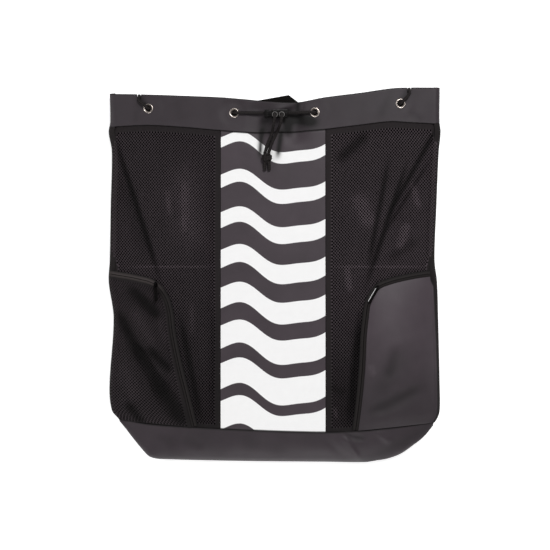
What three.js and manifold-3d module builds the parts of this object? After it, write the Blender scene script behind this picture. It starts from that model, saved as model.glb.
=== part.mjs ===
// Swim bag: a mesh drawstring backpack that lies on its back with the front panel up.
// Millimetres. +X runs across the front, +Y from the base to the mouth, +Z up out of the front.
import * as THREE from "three";
import { mergeVertices } from "three/addons/utils/BufferGeometryUtils.js";
import Module from "manifold-3d";

const wasm = await Module();
wasm.setup();

// Cloth and sewing
const CLOTH = 1.4;
const SEAM_GAP = 0.4;
const SIDE_GAP = 0.7;
const SIDE_TURN = 10;
const FULLNESS = 3;

// Body sections from the base to the mouth: side edges, then heights of side seam and crown
const BODY = [
  { y: -245, left: -242.5, right: 254.3, seam: 13, crown: 44 },
  { y: -233, left: -252.5, right: 263.3, seam: 13, crown: 45 },
  { y: -220, left: -263, right: 267.3, seam: 14, crown: 45 },
  { y: -182, left: -267, right: 267.3, seam: 14, crown: 45 },
  { y: -70, left: -260.3, right: 264.8, seam: 14, crown: 43 },
  { y: -12, left: -268.2, right: 263, seam: 14, crown: 41 },
  { y: 24, left: -266.5, right: 259, seam: 14, crown: 40 },
  { y: 110, left: -265, right: 262, seam: 14, crown: 37 },
  { y: 200, left: -263, right: 265.6, seam: 17, crown: 35 },
  { y: 230, left: -267.5, right: 267.9, seam: 20, crown: 34 },
  { y: 246, left: -265, right: 266.2, seam: 20, crown: 34 },
  { y: 299, left: -266, right: 266.5, seam: 20, crown: 34 },
];

// Rim stations across the front: heights of its two edges up the bag
const RIM = [
  { x: -265, top: 288.5, bottom: 237 },
  { x: -202, top: 287.5, bottom: 239 },
  { x: -140, top: 285.5, bottom: 235 },
  { x: -85, top: 283, bottom: 230 },
  { x: -40, top: 277.5, bottom: 227 },
  { x: 10, top: 273.5, bottom: 227.5 },
  { x: 42, top: 274.5, bottom: 229 },
  { x: 79, top: 281.5, bottom: 232 },
  { x: 140, top: 290.5, bottom: 239.5 },
  { x: 186, top: 298, bottom: 245 },
  { x: 214, top: 300, bottom: 244 },
  { x: 265, top: 299.5, bottom: 242 },
];
const BACK_RIM_DROP = 3;

// Base stations across the bag: its seam and its bottom edge up the bag
const BASE = [
  { x: -251, seam: -233.5, bottom: -236.5 },
  { x: -207, seam: -239.5, bottom: -290 },
  { x: -196, seam: -240.3, bottom: -296 },
  { x: -175, seam: -241.5, bottom: -298 },
  { x: -50, seam: -247.5, bottom: -300 },
  { x: 80, seam: -251.4, bottom: -300.5 },
  { x: 145, seam: -249, bottom: -301 },
  { x: 181, seam: -246, bottom: -296.8 },
  { x: 220, seam: -243, bottom: -276.5 },
  { x: 257, seam: -238.5, bottom: -241.5 },
];
const BASE_COLUMNS = [
  -250.5, -242, -227, -207, -196, -175, -120, -60, 0, 60, 105, 145, 165, 181, 202, 220, 238, 250, 256.5,
];
const BASE_FOLD = 9;

// Folds of the cloth: the line each follows, its half width and its rise, below zero for a valley
const FOLDS = [
  { x0: -250, y0: 182, x1: -190, y1: 6, width: 15, rise: -5 },
  { x0: 254, y0: 200, x1: 172, y1: 52, width: 15, rise: -5 },
  { x0: 214, y0: 190, x1: 150, y1: 30, width: 16, rise: 4 },
  { x0: 34, y0: 200, x1: 34, y1: 290, width: 15, rise: -7 },
  { x0: -26, y0: 200, x1: -26, y1: 290, width: 15, rise: -4 },
];
const POCKET_FOLDS = [
  { x0: -238, y0: -16, x1: -180, y1: -72, width: 13, rise: -5 },
  { x0: -236, y0: -100, x1: -148, y1: -240, width: 16, rise: -8 },
  { x0: 140, y0: -226, x1: 244, y1: -178, width: 18, rise: -6 },
];
const FOLD_RUNOUT = 0.3;

// Centre strip between the two mesh panels
const STRIP_LEFT = -85.5;
const STRIP_RIGHT = 81;

// Eyelets of the drawcord
const FRONT_EYELETS = [
  { x: -202, y: 266 },
  { x: -64.5, y: 258 },
  { x: 64.5, y: 259 },
  { x: 202, y: 274 },
];
const BACK_EYELETS = [
  { x: -231, y: 266 },
  { x: 228, y: 274 },
];
const EYELET_BORE = 4.4;
const EYELET_BARREL = 5.2;
const EYELET_FLANGE = 7.8;
const EYELET_PLATE = 1;
const EYELET_CUT = 5.7;
const EYELET_FLAT = 14;
const EYELET_BLEND = 28;

// Drawcord
const CORD = 5;
const CORD_SIDES = 8;
const CORD_CLEAR = 0.5;
const CORD_BEND = 4.4;
const EDGE_NOTCH = 6.5;
const EDGE_NOTCH_HALF = 13;
const CORD_OVER_LEFT = -217;
const CORD_OVER_RIGHT = 216;

// Cord lock: a barrel along X with two cord holes that lean towards the base
const LOCK_X = 8;
const LOCK_Y = 255;
const LOCK_LENGTH = 26.4;
const LOCK_RADIUS = 7.2;
const LOCK_BORE = 4.9;
const LOCK_END = 1.4;
const LOCK_HOLE = 3.4;
const LOCK_SPACING = 11;
const LOCK_STAND = 13.4;
const LOCK_LEAN = THREE.MathUtils.degToRad(14);
const PLUNGER_RADIUS = 4.55;
const PLUNGER_SLOT = 5.9;
const PLUNGER_TRAVEL = 3.5;
const BUTTON_RADIUS = 7;
const BUTTON_LENGTH = 7;

// Zips: lines on the front from the side seam to the base, and the tape
const ZIP_MESH = [
  [-256, -0.5], [-221, -6.5], [-192, -15.5], [-174.5, -36], [-167, -60],
  [-163.5, -89], [-157.5, -121], [-149.5, -156], [-140, -193], [-128, -242],
];
const ZIP_COATED = [
  [251, 1], [232, -1.5], [205, -6.5], [184, -12], [166, -19.5], [155, -32.5], [148.5, -49],
  [145.5, -70], [142.5, -97], [139.5, -153], [134, -209], [129, -248],
];
const ZIP_HALF = 6;
const ZIP_TAPE = 1;
const ZIP_RIDGE = 1.4;
const ZIP_STEPS = 18;
const CORNER_MESH = 0.26;
const CORNER_COATED = 0.29;

// Pockets: how far each stands off the panel behind it
const POCKET_MESH_RISE = 9;
const POCKET_COATED_RISE = 12;

// Zip sliders with their pull tabs: place, far end of the tab and its dip in degrees
const SLIDER_MESH = { x: -189, y: -17, toX: -187, toY: -43.5, dip: -4 };
const SLIDER_COATED = { x: 162.5, y: -22.5, toX: 149, toY: -45.5, dip: 4 };
const SLIDER_LENGTH = 9;
const SLIDER_WIDTH = 7;
const SLIDER_HEIGHT = 2;
const BRIDGE_WIDTH = 2;
const BRIDGE_GAP = 2;
const BRIDGE_SPAN = 4.4;
const BRIDGE_WALL = 1;
const PULL_WIDTH = 5.6;
const PULL_THICK = 1.2;
const PULL_WINDOW = 3.4;

// Webbing under the bag
const STRAP_WIDTH = 42;
const STRAP_THICK = 2.4;
const STRAPS_TOP = { x: 42, y: 205 };
const STRAPS_LOW = { x: 178, y: -205 };
const STRAP_BOW = 22;
const STRAP_BED = 8;
const STRAP_SLOPE = 14;
const STRAP_ENDS = 26;
const STRAP_CLEAR = 0.8;
const WEB_THICK = 1.8;
const RIM_LIFT = 7.4;

const clamp = THREE.MathUtils.clamp;
const mix = THREE.MathUtils.lerp;
const rise = THREE.MathUtils.smoothstep;
const point = (x, y, z) => new THREE.Vector3(x, y, z);

// One column of a table at any place between its rows, by cubic pieces through the rows
function along(table, key, column, place) {
  const last = table.length - 1;
  const at = clamp(place, table[0][key], table[last][key]);
  let i = 0;
  while (i < last - 1 && at > table[i + 1][key]) {
    i += 1;
  }
  const before = table[Math.max(i - 1, 0)];
  const from = table[i];
  const to = table[i + 1];
  const after = table[Math.min(i + 2, last)];
  const span = to[key] - from[key];
  const t = (at - from[key]) / span;
  const slopeFrom = ((to[column] - before[column]) / (to[key] - before[key])) * span;
  const slopeTo = ((after[column] - from[column]) / (after[key] - from[key])) * span;
  const t2 = t * t;
  const t3 = t2 * t;
  return (
    (2 * t3 - 3 * t2 + 1) * from[column] + (t3 - 2 * t2 + t) * slopeFrom +
    (3 * t2 - 2 * t3) * to[column] + (t3 - t2) * slopeTo
  );
}

const leftEdge = (y) => along(BODY, "y", "left", y);
const rightEdge = (y) => along(BODY, "y", "right", y);
const seamHeight = (y) => along(BODY, "y", "seam", y);
const baseSeam = (x) => along(BASE, "x", "seam", x);
const baseBottom = (x) => along(BASE, "x", "bottom", x);
const rimBottom = (x) => along(RIM, "x", "bottom", x);

// The rim's top edge is pulled down where the cord crosses it
function rimTop(x) {
  let top = along(RIM, "x", "top", x);
  for (const crossing of [CORD_OVER_LEFT, CORD_OVER_RIGHT]) {
    top -= EDGE_NOTCH * (1 - rise(Math.abs(x - crossing), 0, EDGE_NOTCH_HALF));
  }
  return top;
}

// Rise of a set of folds at one place: a bell across each line that runs out at both ends
function foldRise(folds, x, y) {
  let sum = 0;
  for (const fold of folds) {
    const dx = fold.x1 - fold.x0;
    const dy = fold.y1 - fold.y0;
    const length = Math.hypot(dx, dy);
    const t = ((x - fold.x0) * dx + (y - fold.y0) * dy) / (length * length);
    const off = ((x - fold.x0) * dy - (y - fold.y0) * dx) / length;
    const ends = rise(t, 0, FOLD_RUNOUT) * (1 - rise(t, 1 - FOLD_RUNOUT, 1));
    sum += fold.rise * ends * Math.exp(-((off / fold.width) ** 2));
  }
  return sum;
}

// Height of the front's outer face before the eyelets flatten it
function softHeight(x, y) {
  const from = leftEdge(y) + SIDE_TURN;
  const to = rightEdge(y) - SIDE_TURN;
  const across = clamp((2 * (x - from)) / (to - from) - 1, -1, 1);
  const seam = seamHeight(y);
  const arch = 1 - Math.abs(across) ** FULLNESS;
  return seam + (along(BODY, "y", "crown", y) - seam) * arch + foldRise(FOLDS, x, y);
}

// Height and slopes of the flat spot under each front eyelet
const SLOPE_STEP = 5;
const FLAT_SPOTS = FRONT_EYELETS.map(({ x, y }) => ({
  x,
  y,
  z: softHeight(x, y),
  slopeX: (softHeight(x + SLOPE_STEP, y) - softHeight(x - SLOPE_STEP, y)) / (2 * SLOPE_STEP),
  slopeY: (softHeight(x, y + SLOPE_STEP) - softHeight(x, y - SLOPE_STEP)) / (2 * SLOPE_STEP),
}));

function frontHeight(x, y) {
  let z = softHeight(x, y);
  for (const spot of FLAT_SPOTS) {
    const away = Math.hypot(x - spot.x, y - spot.y);
    const plane = spot.z + spot.slopeX * (x - spot.x) + spot.slopeY * (y - spot.y);
    z = mix(plane, z, rise(away, EYELET_FLAT, EYELET_BLEND));
  }
  return z;
}

// Line of each shoulder strap under the back, side -1 for left and 1 for right
function strapLine(side, t) {
  const x = mix(STRAPS_TOP.x, STRAPS_LOW.x, t) + STRAP_BOW * Math.sin(Math.PI * t);
  return { x: side * x, y: mix(STRAPS_TOP.y, STRAPS_LOW.y, t) };
}

// Height of the back's outer face: it lies on the floor, over the straps and on the rim's cord
function backHeight(x, y) {
  const t = (STRAPS_TOP.y - y) / (STRAPS_TOP.y - STRAPS_LOW.y);
  const reach = STRAP_WIDTH / 2;
  const off = Math.abs(Math.abs(x) - strapLine(1, clamp(t, 0, 1)).x);
  const beyond = Math.max(Math.max(-t, t - 1) * (STRAPS_TOP.y - STRAPS_LOW.y), 0);
  const bed = reach + STRAP_BED;
  const over = (1 - rise(off, bed, bed + STRAP_SLOPE)) * (1 - rise(beyond, STRAP_ENDS, STRAP_ENDS * 2));
  return Math.max((STRAP_THICK + STRAP_CLEAR) * over, RIM_LIFT * rise(y, 188, 226));
}

// Solid from vertices and triangle corners
function solidOf(vertices, index) {
  const flat = vertices.flatMap((v) => [v.x, v.y, v.z]);
  const geometry = new THREE.BufferGeometry();
  geometry.setAttribute("position", new THREE.Float32BufferAttribute(flat, 3));
  geometry.setIndex(index);
  return geometry;
}

// A cloth wall: rows of points on its outer face, thickened inwards along the face's normals
function clothWall(rows, thickness) {
  const high = rows.length;
  const wide = rows[0].length;
  const at = (j, i) => rows[clamp(j, 0, high - 1)][clamp(i, 0, wide - 1)];
  const inner = [];
  for (let j = 0; j < high; j += 1) {
    for (let i = 0; i < wide; i += 1) {
      const across = at(j, i + 1).clone().sub(at(j, i - 1));
      const up = at(j + 1, i).clone().sub(at(j - 1, i));
      const normal = across.cross(up).normalize();
      inner.push(rows[j][i].clone().addScaledVector(normal, -thickness));
    }
  }
  const index = [];
  const quad = (a, b, c, d) => index.push(a, b, c, a, c, d);
  const o = (j, i) => j * wide + i;
  const n = (j, i) => high * wide + j * wide + i;
  for (let j = 0; j < high - 1; j += 1) {
    for (let i = 0; i < wide - 1; i += 1) {
      quad(o(j, i), o(j, i + 1), o(j + 1, i + 1), o(j + 1, i));
      quad(n(j, i), n(j + 1, i), n(j + 1, i + 1), n(j, i + 1));
    }
    quad(n(j + 1, 0), n(j, 0), o(j, 0), o(j + 1, 0));
    quad(n(j, wide - 1), n(j + 1, wide - 1), o(j + 1, wide - 1), o(j, wide - 1));
  }
  for (let i = 0; i < wide - 1; i += 1) {
    quad(n(0, i), n(0, i + 1), o(0, i + 1), o(0, i));
    quad(o(high - 1, i), o(high - 1, i + 1), n(high - 1, i + 1), n(high - 1, i));
  }
  return solidOf([...rows.flat(), ...inner], index);
}

// Even steps from 0 to 1
const steps = (count) => Array.from({ length: count + 1 }, (_, i) => i / count);

// Place inside four sides of a panel, blended from the sides themselves
function between(sides, u, v) {
  const low = sides.bottom(u);
  const high = sides.top(u);
  const left = sides.left(v);
  const right = sides.right(v);
  const lowEnds = (axis) => mix(sides.bottom(0)[axis], sides.bottom(1)[axis], u);
  const highEnds = (axis) => mix(sides.top(0)[axis], sides.top(1)[axis], u);
  const corner = (axis) => mix(lowEnds(axis), highEnds(axis), v);
  const place = (axis) => mix(low[axis], high[axis], v) + mix(left[axis], right[axis], u) - corner(axis);
  return [place(0), place(1)];
}

// Panel of the front: its sides in plan, and its outer face at a height over each place
function panel(sides, us, vs, height) {
  const rows = vs.map((v) =>
    us.map((u) => {
      const [x, y] = between(sides, u, v);
      return point(x, y, height(x, y, u, v));
    }),
  );
  return clothWall(rows, CLOTH);
}

// Where a line up the bag meets a curve across it
function meeting(line, curve) {
  let y = curve(0);
  for (let i = 0; i < 5; i += 1) {
    y = curve(line(y));
  }
  return y;
}

const panelLow = (x) => baseSeam(x) + SEAM_GAP;
const panelHigh = (x) => rimBottom(x) - SEAM_GAP;

// Sides of a panel between two lines up the bag, from the base seam to the rim
function uprightSides(leftLine, rightLine) {
  const upright = (line) => {
    const low = meeting(line, panelLow);
    const high = meeting(line, panelHigh);
    return (v) => {
      const y = mix(low, high, v);
      return [line(y), y];
    };
  };
  const left = upright(leftLine);
  const right = upright(rightLine);
  const crossing = (curve, from, to) => (u) => {
    const x = mix(from[0], to[0], u);
    return [x, curve(x)];
  };
  return {
    left,
    right,
    bottom: crossing(panelLow, left(0), right(0)),
    top: crossing(panelHigh, left(1), right(1)),
  };
}

const leftSeam = (y) => leftEdge(y) + SIDE_TURN + SIDE_GAP;
const rightSeam = (y) => rightEdge(y) - SIDE_TURN - SIDE_GAP;

// Back of the bag between two lines across it, turned round both sides up to the front's seams
function backWall(low, high, vs, columns) {
  const turns = steps(4);
  const ends = (edge) => [meeting(edge, low), meeting(edge, high)];
  const leftEnds = ends(leftEdge);
  const rightEnds = ends(rightEdge);
  const rows = vs.map((v) => {
    const sideRow = (edge, [from, to]) => {
      const y = mix(from, to, v);
      return { x: edge(y), y, top: seamHeight(y), floor: backHeight(edge(y), y) };
    };
    const left = sideRow(leftEdge, leftEnds);
    const right = sideRow(rightEdge, rightEnds);
    const turn = (side, sign, t) => {
      const angle = Math.PI * (0.5 - t);
      const half = (side.top - side.floor) / 2;
      const x = side.x - sign * SIDE_TURN * (1 - Math.cos(angle));
      return point(x, side.y, side.floor + half * (1 + Math.sin(angle)));
    };
    const flat = columns(left.x + SIDE_TURN, right.x - SIDE_TURN, mix(left.y, right.y, 0.5)).map((x) => {
      const y = mix(low(x), high(x), v);
      return point(x, y, backHeight(x, y));
    });
    return [
      ...turns.map((t) => turn(right, 1, t)),
      ...flat.reverse(),
      ...turns.map((t) => turn(left, -1, 1 - t)),
    ];
  });
  return clothWall(rows, CLOTH);
}

// Columns of the back that follow the edges of both straps
function strapColumns(from, to, y) {
  const t = clamp((STRAPS_TOP.y - y) / (STRAPS_TOP.y - STRAPS_LOW.y), 0, 1);
  const middle = strapLine(1, t).x;
  const reach = STRAP_WIDTH / 2;
  const bed = reach + STRAP_BED;
  const offs = [-bed - STRAP_SLOPE, -bed, 0, bed, bed + STRAP_SLOPE];
  const rightSide = offs.map((off) => clamp(middle + off, 3, to - 8));
  const leftSide = offs.map((off) => clamp(-middle - off, from + 8, -3));
  return [...leftSide.reverse(), 0, ...rightSide];
}

// Body of a geometry for cutting and joining
function bodyOf(geometry) {
  const bare = geometry.clone();
  bare.deleteAttribute("normal");
  bare.deleteAttribute("uv");
  const merged = mergeVertices(bare, 1e-4);
  return new wasm.Manifold(
    new wasm.Mesh({
      numProp: 3,
      vertProperties: new Float32Array(merged.attributes.position.array),
      triVerts: new Uint32Array(merged.index.array),
    }),
  );
}

function geometryOf(body) {
  const mesh = body.getMesh();
  const geometry = new THREE.BufferGeometry();
  geometry.setAttribute("position", new THREE.BufferAttribute(new Float32Array(mesh.vertProperties), 3));
  geometry.setIndex(Array.from(mesh.triVerts));
  return geometry;
}

// Turned, moved copy of a geometry whose own Z axis is laid along a direction
function laid(geometry, axis, place) {
  const turn = new THREE.Quaternion().setFromUnitVectors(point(0, 0, 1), axis);
  return geometry.applyQuaternion(turn).translate(place.x, place.y, place.z);
}

// Middle of the cloth at an eyelet and the direction out of it
const frontSpots = FLAT_SPOTS.map((spot) => {
  const out = point(-spot.slopeX, -spot.slopeY, 1).normalize();
  return { out, middle: point(spot.x, spot.y, spot.z).addScaledVector(out, -CLOTH / 2) };
});
const backSpots = BACK_EYELETS.map(({ x, y }) => ({
  out: point(0, 0, -1),
  middle: point(x, y, RIM_LIFT + CLOTH / 2),
}));

function withEyeletCuts(geometry, spots) {
  let body = bodyOf(geometry);
  for (const spot of spots) {
    const drill = new THREE.CylinderGeometry(EYELET_CUT, EYELET_CUT, CLOTH * 6, 14).rotateX(Math.PI / 2);
    body = body.subtract(bodyOf(laid(drill, spot.out, spot.middle)));
  }
  return geometryOf(body);
}

// Eyelet: two rounded plates on a barrel, closed round in one turned profile
function eyelet(spot) {
  const face = CLOTH / 2 + 0.3;
  const outer = face + EYELET_PLATE;
  const crest = mix(EYELET_BORE, EYELET_FLANGE, 0.45);
  const profile = [
    [EYELET_BORE, -outer * 0.75], [crest, -outer], [EYELET_FLANGE, -face - 0.3], [EYELET_FLANGE - 0.2, -face],
    [EYELET_BARREL, -face], [EYELET_BARREL, face], [EYELET_FLANGE - 0.2, face], [EYELET_FLANGE, face + 0.3],
    [crest, outer], [EYELET_BORE, outer * 0.75], [EYELET_BORE, -outer * 0.75],
  ].map(([r, z]) => new THREE.Vector2(r, z));
  return laid(new THREE.LatheGeometry(profile, 10).rotateX(Math.PI / 2), spot.out, spot.middle);
}

// Round cord through a list of points, capped at both ends
function cordAlong(points, radius) {
  const vertices = [];
  const index = [];
  let side = point(0.31, 0.52, 0.79);
  points.forEach((centre, j) => {
    const ahead = points[Math.min(j + 1, points.length - 1)];
    const behind = points[Math.max(j - 1, 0)];
    const into = ahead.clone().sub(centre).normalize();
    const outOf = centre.clone().sub(behind).normalize();
    const heading = into.add(outOf).normalize();
    side = side.clone().addScaledVector(heading, -side.dot(heading)).normalize();
    const other = heading.clone().cross(side);
    for (let k = 0; k < CORD_SIDES; k += 1) {
      const angle = (2 * Math.PI * k) / CORD_SIDES;
      const ring = side.clone().multiplyScalar(radius * Math.cos(angle));
      vertices.push(centre.clone().add(ring).addScaledVector(other, radius * Math.sin(angle)));
    }
  });
  for (let j = 0; j < points.length - 1; j += 1) {
    for (let k = 0; k < CORD_SIDES; k += 1) {
      const a = j * CORD_SIDES + k;
      const b = j * CORD_SIDES + ((k + 1) % CORD_SIDES);
      index.push(a, b, b + CORD_SIDES, a, b + CORD_SIDES, a + CORD_SIDES);
    }
  }
  const lastRing = (points.length - 1) * CORD_SIDES;
  for (let k = 1; k < CORD_SIDES - 1; k += 1) {
    index.push(0, k + 1, k, lastRing, lastRing + k, lastRing + k + 1);
  }
  return solidOf(vertices, index);
}

// Cord through an eyelet: a bend off the near face into the bore, then a bend on to the far face
const EYELET_RUN = CLOTH / 2 + 0.3 + EYELET_PLATE + CORD_CLEAR + CORD / 2;
function throughEyelet(spot, arriving, leaving, nearSide) {
  const bend = (heading, side, t, sign) => {
    const angle = (Math.PI / 2) * t;
    const flat = sign * CORD_BEND * (1 - Math.sin(angle));
    const high = side * (EYELET_RUN - CORD_BEND * (1 - Math.cos(angle)));
    return spot.middle.clone().addScaledVector(heading, flat).addScaledVector(spot.out, high);
  };
  const turns = steps(3);
  return [
    ...turns.map((t) => bend(arriving, nearSide, t, -1)),
    ...turns.map((t) => bend(leaving, -nearSide, 1 - t, 1)),
  ];
}

const OUTSIDE = 1;
const INSIDE = -1;
const CORD_LIE = CORD / 2 + CORD_CLEAR;
const heading = (from, to) => point(to.x - from.x, to.y - from.y, 0).normalize();

// Cord lock: its middle, the way its holes lead the cord, and the two hole centres
const lockMiddle = point(LOCK_X, LOCK_Y, frontHeight(LOCK_X, LOCK_Y) + LOCK_STAND);
const holeAxis = point(0, -Math.sin(LOCK_LEAN), Math.cos(LOCK_LEAN));
const HOLES_OFF = -1.95;
const holeAt = (side) => lockMiddle.clone().add(point(HOLES_OFF + (side * LOCK_SPACING) / 2, 0, 0));

// Cord from a lock hole to the cloth behind the lock, turning outwards along X
function cordOutOfLock(side) {
  const start = holeAt(side);
  const clear = LOCK_RADIUS - 0.4;
  const bend = 3.8;
  const straight = [0.2, clear].map((d) => start.clone().addScaledVector(holeAxis, -d));
  const turned = [1 / 3, 2 / 3, 1].map((t) => {
    const angle = (Math.PI / 2) * t;
    return start
      .clone()
      .addScaledVector(holeAxis, -clear - bend * Math.sin(angle))
      .add(point(side * bend * (1 - Math.cos(angle)), 0, 0));
  });
  return [...straight, ...turned];
}

// Cord over the rim's top edge, down past the mouth and under the back rim's edge
function overEdge(x) {
  const y = rimTop(x);
  const z = frontHeight(x, y) - CLOTH / 2;
  const under = RIM_LIFT + CLOTH / 2 - EYELET_RUN;
  const beyond = CORD_LIE + 0.8;
  return [
    point(x, y - 4, z + 4.4),
    point(x, y + 1.4, z + 3.5),
    point(x, y + beyond, z),
    point(x, y + beyond, mix(z, under, 0.5)),
    point(x, y + beyond, under + 4),
    point(x, y + beyond - 1.4, under + 1.2),
    point(x, y + beyond - 4.4, under),
  ];
}

// Stretch of cord along the inner face between two eyelets
function insideRun(from, to) {
  return [0.25, 0.5, 0.75].map((t) => {
    const x = mix(from.x, to.x, t);
    const y = mix(from.y, to.y, t);
    return point(x, y, frontHeight(x, y) - CLOTH - CORD_LIE - 0.6);
  });
}

function drawcordRoute() {
  const [g1, g2, g3, g4] = FRONT_EYELETS;
  const [s1, s2, s3, s4] = frontSpots;
  const [b1, b4] = BACK_EYELETS;
  const [r1, r4] = backSpots;
  const lockLeft = cordOutOfLock(-1);
  const lockRight = cordOutOfLock(1).reverse();
  const edgeLeft = overEdge(CORD_OVER_LEFT);
  const edgeRight = overEdge(CORD_OVER_RIGHT).reverse();
  const backRun = [0.25, 0.5, 0.75].map((t) =>
    point(mix(b1.x, b4.x, t), mix(b1.y, b4.y, t), RIM_LIFT + CLOTH + CORD_LIE + 0.6),
  );
  return [
    ...lockLeft,
    ...throughEyelet(s2, heading(lockLeft.at(-1), g2), heading(g2, g1), OUTSIDE),
    ...insideRun(g2, g1),
    ...throughEyelet(s1, heading(g2, g1), heading(g1, edgeLeft[0]), INSIDE),
    ...edgeLeft,
    ...throughEyelet(r1, heading(edgeLeft.at(-1), b1), heading(b1, b4), OUTSIDE),
    ...backRun,
    ...throughEyelet(r4, heading(b1, b4), heading(b4, edgeRight[0]), INSIDE),
    ...edgeRight,
    ...throughEyelet(s4, heading(edgeRight.at(-1), g4), heading(g4, g3), OUTSIDE),
    ...insideRun(g4, g3),
    ...throughEyelet(s3, heading(g4, g3), heading(g3, lockRight[0]), INSIDE),
    ...lockRight,
  ];
}

// Loose cord tail from a lock hole over the lock and down to the knot, chosen by eye from the photo
// Rows: share of the way across to the knot, then y and z from the lock's middle
const KNOT = { x: -12, y: 185, rx: 8.2, ry: 9.5, rz: 6.6 };
const TAILS_APART = 6;
const TAIL_DROP = [
  [0, -2.9, 9], [0.01, -5.3, 11.5], [0.02, -8.4, 13], [0.05, -11.9, 13.4], [0.09, -15.2, 12.5],
  [0.13, -18.1, 10.6], [0.16, -20.1, 7.8], [0.19, -21.5, 4.2], [0.22, -22.8, 0.6], [0.25, -24.2, -3.2],
  [0.28, -26, -6.2], [0.33, -28.6, -8.4], [0.4, -31.9, -9.6],
];
function tailRoute(side) {
  const start = holeAt(side);
  const sideways = (share) => {
    const apart = mix(LOCK_SPACING, TAILS_APART, rise(share, 0, 0.5));
    return mix(LOCK_X + HOLES_OFF, KNOT.x, share) + (side * apart) / 2;
  };
  const onCloth = (share, y, over) => {
    const x = sideways(share);
    return point(x, y, frontHeight(x, y) + CORD_LIE + over);
  };
  const line = new THREE.CatmullRomCurve3([
    ...[0.2, 3, 6].map((d) => start.clone().addScaledVector(holeAxis, d)),
    ...TAIL_DROP.map(([share, y, z]) => point(sideways(share), lockMiddle.y + y, lockMiddle.z + z)),
    onCloth(0.54, 217.5, 0.1),
    onCloth(0.79, 207, 0),
    onCloth(1, KNOT.y + KNOT.ry - 0.2, 0),
  ], false, "centripetal");
  return line.getSpacedPoints(15);
}

// Knot of both tails with their two short ends
function knot() {
  const z = frontHeight(KNOT.x, KNOT.y) + KNOT.rz + CORD_CLEAR;
  const ball = new THREE.SphereGeometry(1, 12, 7).scale(KNOT.rx, KNOT.ry, KNOT.rz);
  let body = bodyOf(ball.translate(KNOT.x, KNOT.y, z));
  for (const side of [-1, 1]) {
    const end = [0, 0.5, 1].map((t) => {
      const x = KNOT.x + side * mix(2.6, 3.6, t);
      const y = mix(KNOT.y - 4, KNOT.y - 19, t);
      return point(x, y, mix(z - 2, frontHeight(x, y) + CORD_LIE, t));
    });
    body = body.add(bodyOf(cordAlong(end, CORD / 2)));
  }
  return geometryOf(body);
}

// Turned piece along X from pairs of place along the axis and radius
function turnedAlongX(profile, sides) {
  const points = profile.map(([x, r]) => new THREE.Vector2(r, x));
  return new THREE.LatheGeometry(points, sides).rotateZ(-Math.PI / 2);
}

const LOCK_SIDES = 16;
function lockBody() {
  const half = LOCK_LENGTH / 2;
  const barrel = turnedAlongX([
    [half - LOCK_END, 0], [half - LOCK_END, LOCK_BORE], [-half, LOCK_BORE], [-half, LOCK_RADIUS - 0.8],
    [-half + 0.8, LOCK_RADIUS], [half - 1.6, LOCK_RADIUS], [half - 0.4, LOCK_RADIUS - 1],
    [half, LOCK_RADIUS - 2.4], [half, 0],
  ], LOCK_SIDES).translate(lockMiddle.x, lockMiddle.y, lockMiddle.z);
  let body = bodyOf(barrel);
  for (const side of [-1, 1]) {
    const drill = new THREE.CylinderGeometry(LOCK_HOLE, LOCK_HOLE, LOCK_RADIUS * 3, 12).rotateX(Math.PI / 2);
    body = body.subtract(bodyOf(laid(drill, holeAxis, holeAt(side))));
  }
  return geometryOf(body);
}

// Plunger: a round slide with one long slot for both cords, and the button on its end
function lockPlunger() {
  const mouth = -LOCK_LENGTH / 2;
  const cordSide = LOCK_SPACING / 2 + PLUNGER_SLOT / 2;
  const slotFrom = HOLES_OFF - cordSide - PLUNGER_TRAVEL;
  const slotTo = HOLES_OFF + cordSide;
  const button = mouth - PLUNGER_TRAVEL - 0.3;
  const slide = turnedAlongX([
    [button - BUTTON_LENGTH, 0], [button - BUTTON_LENGTH, BUTTON_RADIUS - 1],
    [button - BUTTON_LENGTH + 1, BUTTON_RADIUS], [button - 0.6, BUTTON_RADIUS], [button, BUTTON_RADIUS - 0.6],
    [button, PLUNGER_RADIUS], [slotTo + 1.5, PLUNGER_RADIUS], [slotTo + 1.5, 0],
  ], LOCK_SIDES).translate(lockMiddle.x, lockMiddle.y, lockMiddle.z);
  const slot = new THREE.BoxGeometry(slotTo - slotFrom, PLUNGER_SLOT, PLUNGER_RADIUS * 3)
    .rotateX(LOCK_LEAN)
    .translate(lockMiddle.x + (slotFrom + slotTo) / 2, lockMiddle.y, lockMiddle.z);
  return geometryOf(bodyOf(slide).subtract(bodyOf(slot)));
}

// Zip line in plan, its place and its offset to the right of the way it runs
function zipLine(places) {
  const curve = new THREE.CatmullRomCurve3(places.map(([x, y]) => point(x, y, 0)), false, "centripetal");
  return (t, off) => {
    const place = curve.getPointAt(t);
    const way = curve.getTangentAt(t);
    return [place.x + off * way.y, place.y - off * way.x];
  };
}

const zipMesh = zipLine(ZIP_MESH);
const zipCoated = zipLine(ZIP_COATED);

// Zip tape with the ridge of its coil
const ZIP_LIFT = CORD_CLEAR + ZIP_TAPE;
function zipTape(line) {
  const section = [[-ZIP_HALF, 0], [-2.6, 0.1], [0, ZIP_RIDGE], [2.6, 0.1], [ZIP_HALF, 0]];
  const rows = steps(ZIP_STEPS).map((t) =>
    section.map(([off, ridge]) => {
      const [x, y] = line(t, off);
      return point(x, y, frontHeight(x, y) + ZIP_LIFT + ridge);
    }),
  );
  return clothWall(rows, ZIP_TAPE);
}

// Pocket between a zip, a side seam and the base: it stands off the panel most in its middle
function pocket(sides, stand) {
  const height = (x, y, u, v) => {
    const off = Math.sin(Math.PI * u) ** 0.7 * Math.sin(Math.PI * v) ** 0.6;
    const edge = rise(Math.min(u, 1 - u, v, 1 - v), 0, 0.15);
    const soft = stand * off + edge * foldRise(POCKET_FOLDS, x, y);
    return frontHeight(x, y) + CORD_CLEAR + CLOTH + Math.max(soft, 0);
  };
  return panel(sides, steps(8), steps(12), height);
}

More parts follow.
